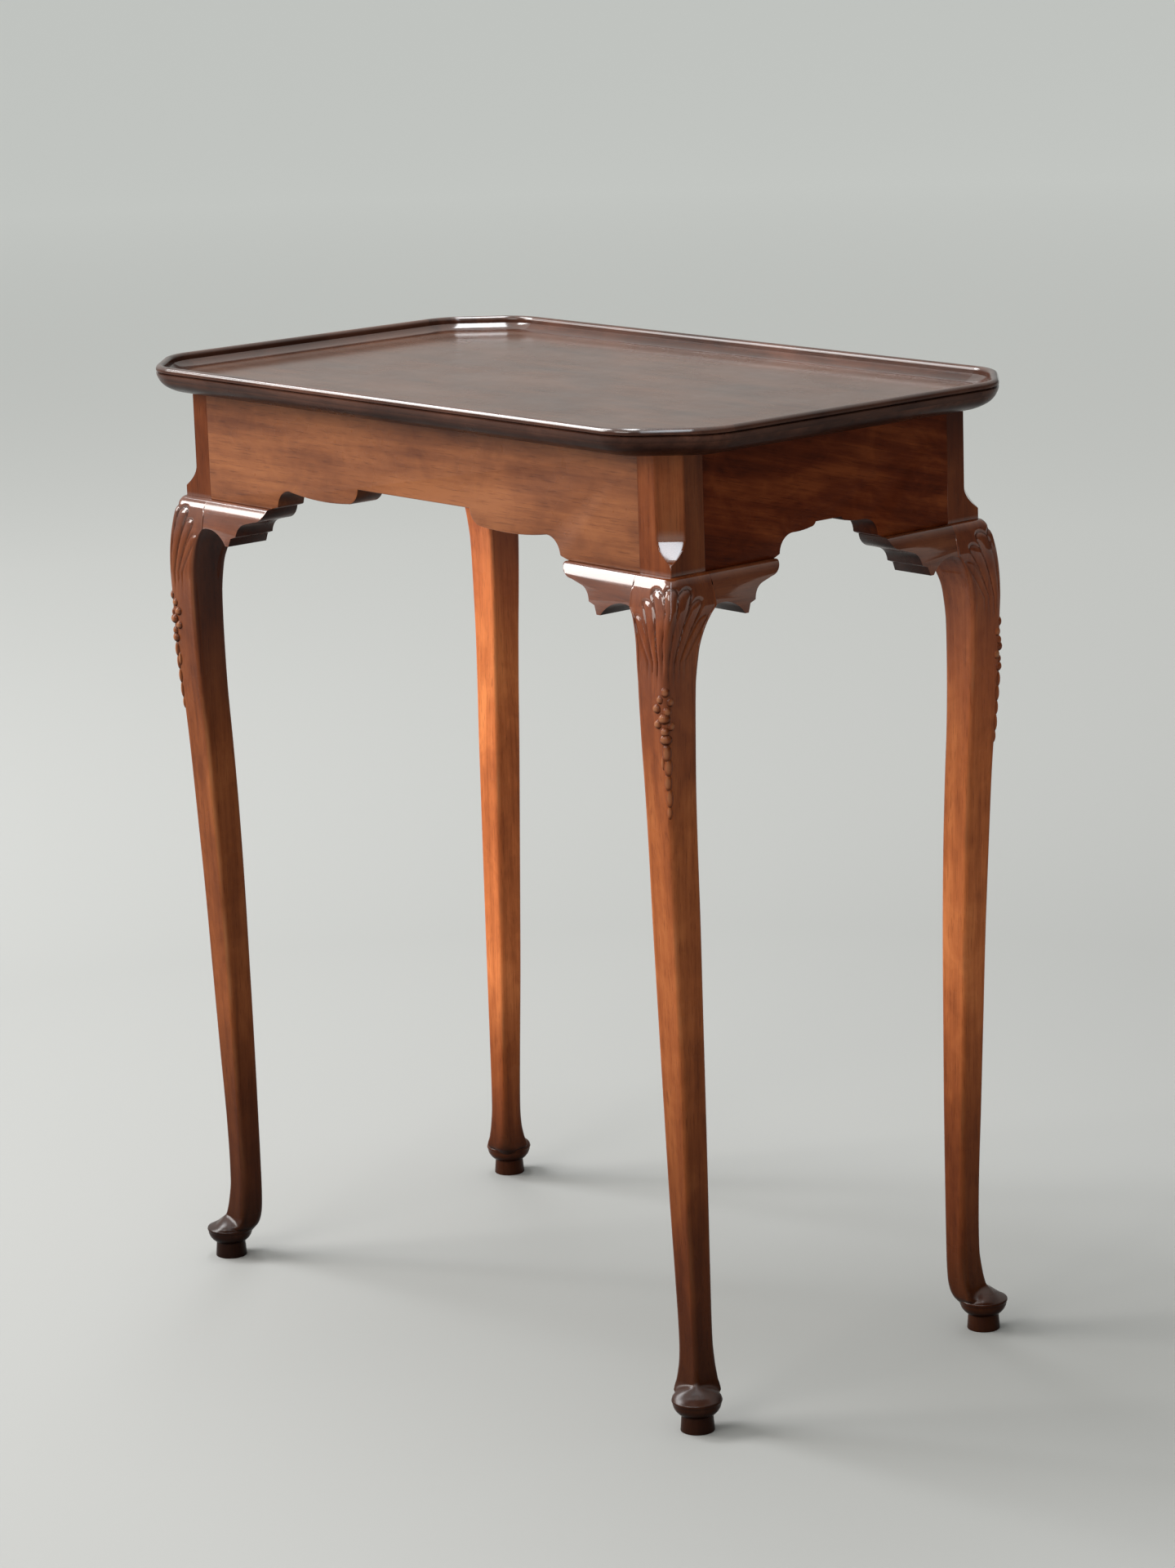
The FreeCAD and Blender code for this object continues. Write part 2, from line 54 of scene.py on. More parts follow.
# Main sizes
TABLE_HEIGHT = 660.0
HALF_LENGTH = 254.0
HALF_WIDTH = 137.5
TRAY_HALF_LENGTH = 286.0
TRAY_HALF_WIDTH = 169.5
CANT_LEG = 44.0
CANT_RADIUS = 38.0
CANT_REACH = CANT_RADIUS * math.tan(math.pi / 8)
HALF_FRONT_RUN = TRAY_HALF_LENGTH - CANT_LEG - CANT_REACH
HALF_SIDE_RUN = TRAY_HALF_WIDTH - CANT_LEG - CANT_REACH
RIM_HEIGHT = 9.3
RIM_WIDTH = 16.0
TRAY_FLOOR = TABLE_HEIGHT - RIM_HEIGHT
RAIL_TOP = 640.0
KNEE_LINE = 564.0
POST_SIZE = 29.0
RAIL_THICKNESS = 23.0
LONG_BRACKET_LENGTH = 69.0
SHORT_BRACKET_LENGTH = 60.0

# Softened edges
RAIL_EDGE = 0.9
BRACKET_EDGE = 0.8
POST_EDGE = 0.8
JOINT_EDGE = 0.15

# How near two points count as one
TOUCH = 0.01
BOARD_MERGE = 0.01
BRACKET_CUT = 0.001
BRACKET_MERGE = 0.02
LEG_MERGE = 0.0005
FOOT_MERGE = 0.001


# Drawing helpers

def verts_of(geom):
    return [item for item in geom if isinstance(item, bmesh.types.BMVert)]


def edges_of(geom):
    return [item for item in geom if isinstance(item, bmesh.types.BMEdge)]


def whole(bm):
    return bm.verts[:] + bm.edges[:] + bm.faces[:]


def clamped(value):
    return min(1, max(0, value))


def arc(bm, vert, through, end, steps):
    """Spins a vertex along the arc through one point to another, and returns the last vertex."""
    start, through, end = vert.co.copy(), Vector(through), Vector(end)
    first, second = through - start, end - start
    normal = first.cross(second)
    middle = normal.cross(first) * second.length_squared + second.cross(normal) * first.length_squared
    centre = start + middle / (2 * normal.length_squared)
    normal.normalize()
    out, back = start - centre, end - centre
    angle = math.atan2(normal.dot(out.cross(back)), out.dot(back)) % (2 * math.pi)
    spun = bmesh.ops.spin(bm, geom=[vert], cent=centre, axis=normal, angle=angle, steps=steps)
    last = verts_of(spun["geom_last"])[0]
    last.co = end
    return last


def trace(start, steps, arc_steps=10, closed=True):
    """A line of edges. A step of one point is straight, one of two is an arc through the first."""
    bm = bmesh.new()
    first = bm.verts.new(start)
    here = first
    for step in steps:
        if len(step) == 2:
            here = arc(bm, here, step[0], step[1], arc_steps)
        else:
            there = bm.verts.new(step[0])
            bm.edges.new((here, there))
            here = there
    if closed:
        bm.edges.new((here, first))
    return bm


def carried(bm, edges, move):
    """Extrudes edges along a straight run and returns the new ones."""
    new = bmesh.ops.extrude_edge_only(bm, edges=edges)["geom"]
    bmesh.ops.translate(bm, verts=verts_of(new), vec=move)
    return edges_of(new)


def turned(bm, edges, centre, degrees, steps):
    """Spins edges about a vertical axis and returns the last ones."""
    verts = list({vert for edge in edges for vert in edge.verts})
    spun = bmesh.ops.spin(bm, geom=verts + edges, cent=centre, axis=AXIS_Z,
                          angle=math.radians(degrees), steps=steps)
    return edges_of(spun["geom_last"])


def close_ends(bm):
    bmesh.ops.holes_fill(bm, edges=[edge for edge in bm.edges if edge.is_boundary], sides=0)
    bmesh.ops.recalc_face_normals(bm, faces=bm.faces)


def thicken(bm, move):
    """Fills a closed outline and extrudes it into a slab."""
    face = bmesh.ops.contextual_create(bm, geom=bm.edges[:])["faces"][0]
    new = bmesh.ops.extrude_face_region(bm, geom=[face], use_keep_orig=True)["geom"]
    bmesh.ops.translate(bm, verts=verts_of(new), vec=move)
    bmesh.ops.recalc_face_normals(bm, faces=bm.faces)


def soften(bm, width, crisp, angle=35):
    """Rounds the edges sharper than an angle, apart from those where crisp is true of both ends."""
    sharp = [edge for edge in bm.edges
             if edge.is_manifold and edge.calc_face_angle(0) > math.radians(angle)
             and not all(crisp(vert.co) for vert in edge.verts)]
    bmesh.ops.bevel(bm, geom=sharp, offset=width, offset_type="OFFSET", affect="EDGES", segments=2,
                    profile=0.5, material=-1, clamp_overlap=True)


def to_corner(bm, corner):
    """A copy of a piece drawn at the front left post, moved to one of the four corners."""
    side_x, side_y = CORNERS[corner]
    copy = bm.copy()
    bmesh.ops.translate(copy, verts=copy.verts, vec=(-HALF_LENGTH, -HALF_WIDTH, 0))
    mirrored(copy, side_x, side_y)
    return copy


def mirrored(bm, side_x, side_y):
    bmesh.ops.scale(bm, verts=bm.verts, vec=(side_x, side_y, 1))
    if side_x * side_y < 0:
        bmesh.ops.reverse_faces(bm, faces=bm.faces)


def swapped(bm):
    """A copy with X and Y changed over, for the short side of a corner."""
    copy = bm.copy()
    for vert in copy.verts:
        vert.co.x, vert.co.y = vert.co.y, vert.co.x
    bmesh.ops.reverse_faces(copy, faces=copy.faces)
    return copy


def to_mesh(bm, name):
    mesh = bpy.data.meshes.new(name)
    bm.to_mesh(mesh)
    bm.free()
    return mesh


def add_object(name, data):
    made = bpy.data.objects.new(name, data)
    bpy.context.scene.collection.objects.link(made)
    return made


def place(bm, name, node, *materials, sharp_angle=38):
    """Makes the piece an object on the root body that stands in for a node of the frame, whose part it
    hides.
    """
    bmesh.ops.scale(bm, verts=bm.verts, vec=(MM, MM, MM))
    mesh = to_mesh(bm, name)
    mesh.polygons.foreach_set("use_smooth", [True] * len(mesh.polygons))
    mesh.set_sharp_from_angle(angle=math.radians(sharp_angle))
    for material in materials:
        mesh.materials.append(material)
    piece = add_object(name, mesh)
    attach(piece, "root")
    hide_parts(node)


# Tray board and rim. The board's edge is rounded under: each point has its distance in from the
# tray's edge, and its height.
BOARD_EDGE = ((1.32, 650.7), (3.85, 646.95), (7.59, 644.07), (12.54, 641.82), (22.0, 640.0))
CANT_TURN = -45
CANT_STEPS = 12
TOP_FACING = 0.9


def tray_point(inset, height):
    """A point of an edge section at the left end of the front side."""
    return Vector((-HALF_FRONT_RUN, inset - TRAY_HALF_WIDTH, height))


def round_corner(bm, edges):
    """Carries a section round the front left canted corner, from the front side to the left side."""
    pivot = Vector((-HALF_FRONT_RUN, CANT_RADIUS - TRAY_HALF_WIDTH, 0))
    way = (AXIS_Y - AXIS_X).normalized() * (CANT_LEG * math.sqrt(2) - CANT_REACH * 2)
    edges = turned(bm, edges, pivot, CANT_TURN, CANT_STEPS)
    edges = carried(bm, edges, way)
    return turned(bm, edges, pivot + way, CANT_TURN, CANT_STEPS)


def make_tray_board():
    """One quarter of the board from its edge section, then mirrored twice and filled."""
    top, upper, middle, lower, foot = (tray_point(*point) for point in BOARD_EDGE)
    bm = trace(top, [(upper, middle), (lower, foot)], closed=False)
    section = bm.edges[:]
    carried(bm, section, AXIS_X * HALF_FRONT_RUN)
    end = round_corner(bm, section)
    carried(bm, end, AXIS_Y * HALF_SIDE_RUN)
    for axis in ("X", "Y"):
        bmesh.ops.mirror(bm, geom=whole(bm), axis=axis, merge_dist=BOARD_MERGE)
    bmesh.ops.remove_doubles(bm, verts=bm.verts, dist=BOARD_MERGE)
    close_ends(bm)
    for face in bm.faces:
        face.material_index = 0 if face.normal.z > TOP_FACING else 1
    return bm


def make_rim(run):
    """A rim moulding. run carries its section from the left end of the front side."""
    bead_radius = 3.0
    bead_side = TABLE_HEIGHT - bead_radius
    bead_width = bead_radius * 2
    bead_turn = math.radians(20)
    bead_foot = (bead_radius * (1 - math.cos(bead_turn)), bead_side - bead_radius * math.sin(bead_turn))
    quirk_width = 1.1
    quirk_depth = 1.7
    quirk_floor = bead_side - quirk_depth
    lip_thickness = 0.15
    cove_start = bead_width + quirk_width
    cove_bend = 3.0
    cove_middle = (cove_start + cove_bend, 652.87)
    side_middle = (0.5, 652.6)
    side_top = (0.15, 654.5)
    groove = (1.5, 655.2)
    bm = trace(tray_point(*BOARD_EDGE[0]), [
        (tray_point(*side_middle), tray_point(*side_top)),
        (tray_point(*groove),),
        (tray_point(*bead_foot),),
        (tray_point(bead_radius, TABLE_HEIGHT), tray_point(bead_width, bead_side)),
        (tray_point(bead_width, quirk_floor),),
        (tray_point(cove_start, quirk_floor),),
        (tray_point(*cove_middle), tray_point(RIM_WIDTH, TRAY_FLOOR + lip_thickness)),
        (tray_point(RIM_WIDTH, TRAY_FLOOR),),
    ], arc_steps=14)
    run(bm, bm.edges[:])
    close_ends(bm)
    return bm


def straight_front(bm, edges):
    carried(bm, edges, AXIS_X * (2 * HALF_FRONT_RUN))


def straight_left(bm, edges):
    """Swings the section to the left side before it runs along it."""
    verts = bm.verts[:]
    hinge = (-HALF_FRONT_RUN, -TRAY_HALF_WIDTH, 0)
    move = (HALF_FRONT_RUN - TRAY_HALF_LENGTH, TRAY_HALF_WIDTH - HALF_SIDE_RUN, 0)
    quarter_turn = Matrix.Rotation(-math.pi / 2, 3, "Z")
    bmesh.ops.rotate(bm, verts=verts, cent=hinge, matrix=quarter_turn)
    bmesh.ops.translate(bm, verts=verts, vec=move)
    carried(bm, edges, AXIS_Y * (2 * HALF_SIDE_RUN))


def build_tray(board_finish, board_edge, rim_finishes):
    place(make_tray_board(), "polished_tray_board", "tray_board", board_finish, board_edge)
    straights = (
        ("front", straight_front, (1, 1)),
        ("back", straight_front, (1, -1)),
        ("left", straight_left, (1, 1)),
        ("right", straight_left, (-1, 1)),
    )
    for side, run, signs in straights:
        bm = make_rim(run)
        mirrored(bm, *signs)
        place(bm, "moulded_rim_" + side, "rim_" + side, rim_finishes[side])
    for corner, signs in CORNERS.items():
        bm = make_rim(round_corner)
        mirrored(bm, *signs)
        place(bm, "moulded_rim_corner_" + corner, "rim_corner_" + corner, rim_finishes["corner"])


# Apron rails. The scallops' points are shares of the half span and of the arch's rise.
LONG_SPAN = HALF_LENGTH - POST_SIZE - LONG_BRACKET_LENGTH
SHORT_SPAN = HALF_WIDTH - POST_SIZE - SHORT_BRACKET_LENGTH
LONG_ARCH_RISE = 23.5
SHORT_ARCH_RISE = 18.5
LONG_SCALLOP_SHARES = {
    "hollow_foot": (0.950, 0.09),
    "hollow_middle": (0.925, 0.45),
    "hollow_head": (0.865, 0.61),
    "lobe_middle": (0.650, 0.48),
    "lobe_end": (0.455, 0.53),
    "step_middle": (0.395, 0.70),
    "step_head": (0.375, 1.00),
}
SHORT_SCALLOP_SHARES = {
    "hollow_foot": (0.900, 0.11),
    "hollow_middle": (0.830, 0.57),
    "hollow_head": (0.640, 0.77),
    "lobe_middle": (0.480, 0.78),
    "lobe_end": (0.330, 0.84),
    "step_middle": (0.265, 0.90),
    "step_head": (0.235, 1.00),
}


def make_rail(half, span, rise, shares):
    """A scalloped rail along X, centred, with its face at Y zero."""
    def point(name, side):
        along, up = shares[name]
        return Vector((side * span * along, 0, KNEE_LINE + rise * up))

    bm = trace((-half, 0, RAIL_TOP), [
        (Vector((half, 0, RAIL_TOP)),),
        (Vector((half, 0, KNEE_LINE)),),
        (Vector((span, 0, KNEE_LINE)),),
        (point("hollow_foot", 1),),
        (point("hollow_middle", 1), point("hollow_head", 1)),
        (point("lobe_middle", 1), point("lobe_end", 1)),
        (point("step_middle", 1), point("step_head", 1)),
        (point("step_head", -1),),
        (point("step_middle", -1), point("lobe_end", -1)),
        (point("lobe_middle", -1), point("hollow_head", -1)),
        (point("hollow_middle", -1), point("hollow_foot", -1)),
        (Vector((-span, 0, KNEE_LINE)),),
        (Vector((-half, 0, KNEE_LINE)),),
    ])
    thicken(bm, AXIS_Y * RAIL_THICKNESS)
    soften(bm, RAIL_EDGE, lambda co: abs(co.x) > half - TOUCH or co.z > RAIL_TOP - TOUCH)
    return bm


def build_rails(finish_along, finish_across):
    for side, sign in (("front", 1), ("back", -1)):
        bm = make_rail(HALF_LENGTH - POST_SIZE, LONG_SPAN, LONG_ARCH_RISE, LONG_SCALLOP_SHARES)
        bmesh.ops.translate(bm, verts=bm.verts, vec=(0, -HALF_WIDTH, 0))
        mirrored(bm, 1, sign)
        place(bm, "scalloped_rail_" + side, "rail_" + side, finish_along)
    for side, sign in (("left", 1), ("right", -1)):
        rail = make_rail(HALF_WIDTH - POST_SIZE, SHORT_SPAN, SHORT_ARCH_RISE, SHORT_SCALLOP_SHARES)
        bmesh.ops.translate(rail, verts=rail.verts, vec=(0, -HALF_LENGTH, 0))
        bm = swapped(rail)
        rail.free()
        mirrored(bm, sign, 1)
        place(bm, "scalloped_rail_" + side, "rail_" + side, finish_across)


# Knee: a bullnose below a narrow ledge, on the legs and on the brackets beside them
KNEE_LEDGE = 2.0
KNEE_PROJECTION = 10.8
KNEE_DROP = 44.0
KNEE_BLOCK_DEPTH = 20.0
BLOCK_BOTTOM = KNEE_LINE - KNEE_BLOCK_DEPTH


def knee_offset(drop):
    """How far the bullnose stands outside the post's face at a drop below the knee line."""
    left_share = 1 - drop / KNEE_DROP
    return KNEE_LEDGE + (KNEE_PROJECTION - KNEE_LEDGE) * math.sqrt(max(0, 1 - left_share ** 2))


# Knee brackets. The lower edge's points are shares of the bracket's length and drop.
BRACKET_DROP = 29.0
BRACKET_BACK = 23.0
BRACKET_END_RADIUS = 6.0
BRACKET_EDGE_SHARES = {
    "nose_middle": (0.955, 0.20),
    "nose_foot": (0.840, 0.32),
    "scoop_head": (0.690, 0.41),
    "scoop_middle": (0.605, 0.53),
    "scoop_foot": (0.565, 0.74),
    "shelf": (0.485, 0.80),
    "tip_outer": (0.450, 1.00),
    "tip_inner": (0.400, 1.00),
    "arch_middle": (0.250, 0.73),
}
BRACKET_SLICE_DROPS = (0.3, 0.9, 1.8, 3.0, 4.6, 6.6, 9.0, 12.0, 16.0, 20.0, 24.0)
BRACKET_END_SLICES = 6


def make_bracket(length):
    """A bracket beside the leg, along X. Its flat front is sliced level by level, then rounded."""
    def point(name):
        along, drop = BRACKET_EDGE_SHARES[name]
        return Vector((POST_SIZE + length * along, -KNEE_PROJECTION, KNEE_LINE - BRACKET_DROP * drop))

    end = POST_SIZE + length
    bm = trace((POST_SIZE, -KNEE_PROJECTION, KNEE_LINE), [
        (Vector((end, -KNEE_PROJECTION, KNEE_LINE)),),
        (point("nose_middle"), point("nose_foot")),
        (point("scoop_head"),),
        (point("scoop_middle"), point("scoop_foot")),
        (point("shelf"),),
        (point("tip_outer"),),
        (point("tip_inner"),),
        (point("arch_middle"), Vector((POST_SIZE, -KNEE_PROJECTION, BLOCK_BOTTOM))),
    ], arc_steps=8)
    thicken(bm, AXIS_Y * (KNEE_PROJECTION + BRACKET_BACK))
    slices = [((0, 0, KNEE_LINE - drop), AXIS_Z) for drop in BRACKET_SLICE_DROPS]
    for step in range(BRACKET_END_SLICES):
        reach = BRACKET_END_RADIUS * (1 - math.cos(math.pi / 2 * step / BRACKET_END_SLICES))
        slices.append(((end - BRACKET_END_RADIUS + reach, 0, 0), AXIS_X))
    for spot, way in slices:
        bmesh.ops.bisect_plane(bm, geom=whole(bm), dist=BRACKET_CUT, plane_co=spot, plane_no=way)
    for vert in bm.verts:
        if vert.co.y < 0:
            past = max(0.0, vert.co.x - (end - BRACKET_END_RADIUS))
            rounding = BRACKET_END_RADIUS - math.sqrt(max(0, BRACKET_END_RADIUS ** 2 - past ** 2))
            vert.co.y = max(-knee_offset(KNEE_LINE - vert.co.z), rounding - KNEE_PROJECTION)
    bmesh.ops.remove_doubles(bm, verts=bm.verts, dist=BRACKET_MERGE)
    soften(bm, BRACKET_EDGE, lambda co: co.x < POST_SIZE + TOUCH, angle=42)
    return bm


def build_brackets(finish_along, finish_across):
    long_bracket = make_bracket(LONG_BRACKET_LENGTH)
    short_bracket = make_bracket(SHORT_BRACKET_LENGTH)
    swapped_bracket = swapped(short_bracket)
    for corner in CORNERS:
        place(to_corner(long_bracket, corner), "knee_bracket_" + corner + "_long",
              "bracket_" + corner + "_long", finish_along)
        place(to_corner(swapped_bracket, corner), "knee_bracket_" + corner + "_short",
              "bracket_" + corner + "_short", finish_across)
    for bm in (long_bracket, short_bracket, swapped_bracket):
        bm.free()


# Legs. Each station: height, outer face, inner face, lean to the long side, then the radii of the
# arris, of the two side corners and of the heel.
LEG_LEAN = 2.6
LEG_STATIONS = (
    (544.0, -9.38, 29.00, 0.00, 6.00, 0.15, 0.15),
    (539.1, -9.94, 25.23, 0.22, 5.85, 0.9, 0.9),
    (533.1, -10.37, 22.19, 0.50, 5.55, 1.6, 1.6),
    (526.0, -10.69, 19.87, 0.76, 5.25, 2.4, 2.4),
    (517.9, -10.80, 18.21, 0.99, 4.95, 2.8, 2.8),
    (505.9, -10.75, 17.26, 1.18, 4.65, 3.0, 3.0),
    (489.6, -10.40, 16.79, 1.29, 4.20, 3.0, 3.0),
    (460.2, -9.30, 16.73, 1.28, 3.75, 3.0, 3.0),
    (424.3, -7.40, 17.20, 1.18, 3.30, 3.0, 3.0),
    (389.0, -5.56, 18.33, 1.06, 3.00, 3.0, 3.0),
    (340.0, -3.78, 19.60, 0.88, 3.00, 3.0, 3.0),
    (280.2, -1.78, 20.47, 0.66, 3.00, 3.0, 3.0),
    (219.8, -0.22, 20.82, 0.42, 3.00, 3.0, 3.0),
    (159.9, 1.35, 21.08, 0.18, 3.00, 3.0, 3.0),
    (100.1, 2.97, 21.08, -0.12, 3.00, 3.2, 3.0),
    (57.1, 3.10, 21.00, -0.35, 3.00, 4.2, 3.2),
    (42.0, 1.80, 21.00, -0.45, 3.04, 4.4, 4.0),
    (31.9, 0.00, 20.80, -0.45, 3.60, 3.3, 5.5),
    (24.0, -2.50, 20.20, -0.45, 4.20, 2.6, 9.5),
    (17.8, -1.80, 15.60, -0.45, 5.60, 5.6, 7.0),
    (10.6, -2.56, 11.52, -0.45, 6.72, 6.72, 6.72),
)
KNEE_ARRIS = LEG_STATIONS[0][4]
FOOT_LEAN = LEG_STATIONS[-1][3]

# The post's chamfer, and the lamb's tongue that stops it above the knee
CHAMFER_LEG = 13.4
CHAMFER_CROWN = 0.015
TONGUE_LENGTH = 15.5
TONGUE_STOP = KNEE_LINE + 7.3
TONGUE_CURVE = 0.85

# How many points a ring has on each stretch of the leg's outline
ARRIS_CUTS = 12
FACE_CUTS = 46
CORNER_CUTS = 4
INNER_CUTS = 10


def station_at(height):
    """A smooth curve through the leg's stations, column by column."""
    index = 0
    while index < len(LEG_STATIONS) - 2 and height < LEG_STATIONS[index + 1][0]:
        index += 1
    upper, lower = LEG_STATIONS[index], LEG_STATIONS[index + 1]
    before = LEG_STATIONS[max(0, index - 1)]
    after = LEG_STATIONS[min(len(LEG_STATIONS) - 1, index + 2)]
    gap = upper[0] - lower[0]
    share = (upper[0] - height) / gap
    values = []
    for column in range(1, len(upper)):
        start_slope = (lower[column] - before[column]) / (before[0] - lower[0]) * gap
        end_slope = (after[column] - upper[column]) / (upper[0] - after[0]) * gap
        values.append(upper[column] * (2 * share ** 3 - 3 * share ** 2 + 1)
                      + start_slope * (share ** 3 - 2 * share ** 2 + share)
                      + lower[column] * (3 * share ** 2 - 2 * share ** 3)
                      + end_slope * (share ** 3 - share ** 2))
    return values


def tongue_leg(height):
    """The chamfer's leg on the post: full above, curving out to nothing at the lamb's tongue."""
    up_share = clamped((height - TONGUE_STOP) / TONGUE_LENGTH)
    return CHAMFER_LEG * math.sin(up_share * math.pi / 2) ** TONGUE_CURVE


# Carving on the knee: reeds that fan down from below the bullnose. Each reed has its distance from
# the arris and its half width, at the top and at the foot, the height of its top and how boldly it
# is cut.
REED_HEAD = KNEE_LINE - 1
REED_FOOT = 512.0
REEDS = (
    (0.0, 5.8, 0.0, 2.2, 557.5, 1.0),
    (12.0, 5.6, 4.4, 2.2, 556.5, 1.0),
    (22.0, 4.6, 9.0, 2.2, 549.0, 0.7),
    (29.6, 3.6, 13.2, 2.0, 539.0, 0.45),
)
REED_HEIGHT = 0.5
REED_MARGIN = 2.0
REED_SWEEP = 0.85
REED_FADE = 14.0
GROOVE_DEPTH = 1.1
GROOVE_WIDTH = 2.2


def reed_relief(across, height):
    """How far the carving stands out of the knee, or is cut into it, at a distance from the arris."""
    across = abs(across)
    relief = 0.0
    carved = 0.0
    for top_place, top_half, foot_place, foot_half, top, bold in REEDS:
        if height > top + REED_MARGIN or height < REED_FOOT - REED_FADE:
            continue
        share = clamped((top - height) / (top - REED_FOOT))
        centre = top_place + (foot_place - top_place) * share ** REED_SWEEP
        half = top_half + (foot_half - top_half) * share
        nose = top - height
        off = abs(across - centre)
        if nose < half:
            off = math.hypot(off, half - nose)
        edge = off / half
        fade = clamped((height - (REED_FOOT - REED_FADE)) / REED_FADE)
        if edge < 1:
            relief = max(relief, (REED_HEIGHT + GROOVE_DEPTH) * math.sqrt(1 - edge ** 2) * fade * bold)
        near = clamped(1 - (off - half) / GROOVE_WIDTH) if edge > 1 else 1
        carved = max(carved, near * near * (3 - 2 * near) * fade * bold)
    return relief - GROOVE_DEPTH * carved


def heading(degrees):
    """The level way at an angle from +X."""
    angle = math.radians(degrees)
    return Vector((math.cos(angle), math.sin(angle), 0))


def leg_ring(height, section):
    """One level ring of the leg: points, their outward ways, distances from the arris and wear."""
    low_x, high_x, low_y, high_y, arris, corner, heel, roundness = section
    points = []
    for step in range(ARRIS_CUTS + 1):
        angle = math.pi / 2 * step / ARRIS_CUTS
        share = step / ARRIS_CUTS
        round_x, round_y = arris - arris * math.cos(angle), arris - arris * math.sin(angle)
        flat_x, flat_y = arris * share, arris - arris * share
        x = low_x + flat_x + (round_x - flat_x) * roundness
        y = low_y + flat_y + (round_y - flat_y) * roundness
        way = Vector((-math.cos(angle), -math.sin(angle), 0))
        worn = 1 - abs(share * 2 - 1)
        points.append((Vector((x, y, height)), way, (share * 2 - 1) * arris * math.pi / 4, worn))
    edge = arris * math.pi / 4
    run = high_x - corner - (low_x + arris)
    for step in range(1, FACE_CUTS):
        along = run * step / FACE_CUTS
        points.append((Vector((low_x + arris + along, low_y, height)), -AXIS_Y, edge + along, 0))
    turns = ((high_x - corner, low_y + corner, -90, corner), (high_x - heel, high_y - heel, 0, heel),
             (low_x + corner, high_y - corner, 90, corner))
    for index, (x, y, start, radius) in enumerate(turns):
        for step in range(CORNER_CUTS + 1):
            way = heading(start + 90 * step / CORNER_CUTS)
            worn = 1 - abs(2 * step / CORNER_CUTS - 1)
            points.append((Vector((x, y, height)) + way * radius, way, 0, worn))
        if index < len(turns) - 1:
            here = points[-1][0]
            next_x, next_y, next_start, radius = turns[index + 1]
            there = Vector((next_x, next_y, height)) + heading(next_start) * radius
            for step in range(1, INNER_CUTS):
                points.append((here.lerp(there, step / INNER_CUTS), Vector(), 0, 0))
    run = high_y - corner - (low_y + arris)
    for step in range(FACE_CUTS - 1, 0, -1):
        along = run * step / FACE_CUTS
        points.append((Vector((low_x, low_y + arris + along, height)), -AXIS_X, -edge - along, 0))
    return points


# The foot: a turned pad and bowl, with a dished top that the ankle sweeps out into. The dish stays
# high at its flanks.
FOOT_PLACE = 2.5
FOOT_SHIFT = LEG_LEAN * FOOT_LEAN
FOOT_AXIS = Vector((FOOT_PLACE + FOOT_SHIFT, FOOT_PLACE - FOOT_SHIFT, 0))
DISH_RADIUS = 16.3
DISH_FOOT = 21.75
DISH_TOP = 33.6
DISH_CURVE = 2.2
FLANK_TOP = 30.0
FLANK_CURVE = 0.72
FLANK_WAY = (AXIS_X - AXIS_Y).normalized()
DISH_BLEND = 8.0
BLEND_START = 4
BLEND_END = 2
BLEND_LEAST = 0.001
LIP_GAP = 0.05

# The foot's turned profile from the pad up, as radius and height. A step of two points is an arc.
FOOT_PROFILE = (
    ((10.8, 0.0),),
    ((11.2, 0.15), (11.3, 0.6)),
    ((10.5, 10.0),),
    ((10.45, 10.6), (10.9, 11.2)),
    ((14.3, 14.2), (16.2, 19.6)),
    ((16.7, 20.8), (DISH_RADIUS - LIP_GAP, DISH_FOOT + LIP_GAP)),
    ((0.0, DISH_FOOT + LIP_GAP),),
)
FOOT_TURNS = 56

# Where the leg's rings lie. Each shank step: the height that it goes down to, and its size.
POST_RING_DROPS = (0, 12, 26)
LEDGE_RING = KNEE_LINE + 3
TONGUE_STEPS = 18
KNEE_TURN = 32
KNEE_TURN_STEPS = 9
KNEE_STEP = 0.8
CARVED_FOOT = 504.0
FINE_STEP = 0.2
SHANK_STEPS = ((60.0, 6.0), (36.0, 2.0), (25.0, 0.8), (DISH_FOOT + FINE_STEP, FINE_STEP))
HEEL_RINGS = (18.0, 14.0)


def dished(point):
    """A point of the ankle, drawn out to the foot's dish and blended into it."""
    reach = Vector((point.x - FOOT_AXIS.x, point.y - FOOT_AXIS.y, 0))
    up_share = clamped((point.z - DISH_FOOT) / (DISH_TOP - DISH_FOOT))
    hollow = DISH_RADIUS * (1 - up_share) ** DISH_CURVE
    flank_share = clamped((point.z - DISH_FOOT) / (FLANK_TOP - DISH_FOOT))
    flank = DISH_RADIUS * (1 - flank_share ** 2) ** FLANK_CURVE
    side_share = reach.normalized().dot(FLANK_WAY) ** 2
    dish = hollow + max(0, flank - hollow) * side_share
    blend = DISH_BLEND * min(1, up_share * BLEND_START, (1 - up_share) * BLEND_END) + BLEND_LEAST
    near = max(0, 1 - abs(reach.length - dish) / blend)
    radius = max(reach.length, dish) + blend * near ** 2 / 4
    return FOOT_AXIS + reach.normalized() * radius + AXIS_Z * point.z


def post_rings():
    """The rings of the post, from its top down to the knee line."""
    heights = [RAIL_TOP - drop for drop in POST_RING_DROPS]
    for step in range(TONGUE_STEPS + 1):
        heights.append(TONGUE_STOP + TONGUE_LENGTH * (1 - step / TONGUE_STEPS))
    heights += [LEDGE_RING, KNEE_LINE]
    rings = []
    for height in heights:
        chamfer = max(POST_EDGE, tongue_leg(height))
        roundness = 1.0 if chamfer <= POST_EDGE else CHAMFER_CROWN
        section = (0, POST_SIZE, 0, POST_SIZE, chamfer, JOINT_EDGE, JOINT_EDGE, roundness)
        rings.append(leg_ring(height, section))
    return rings


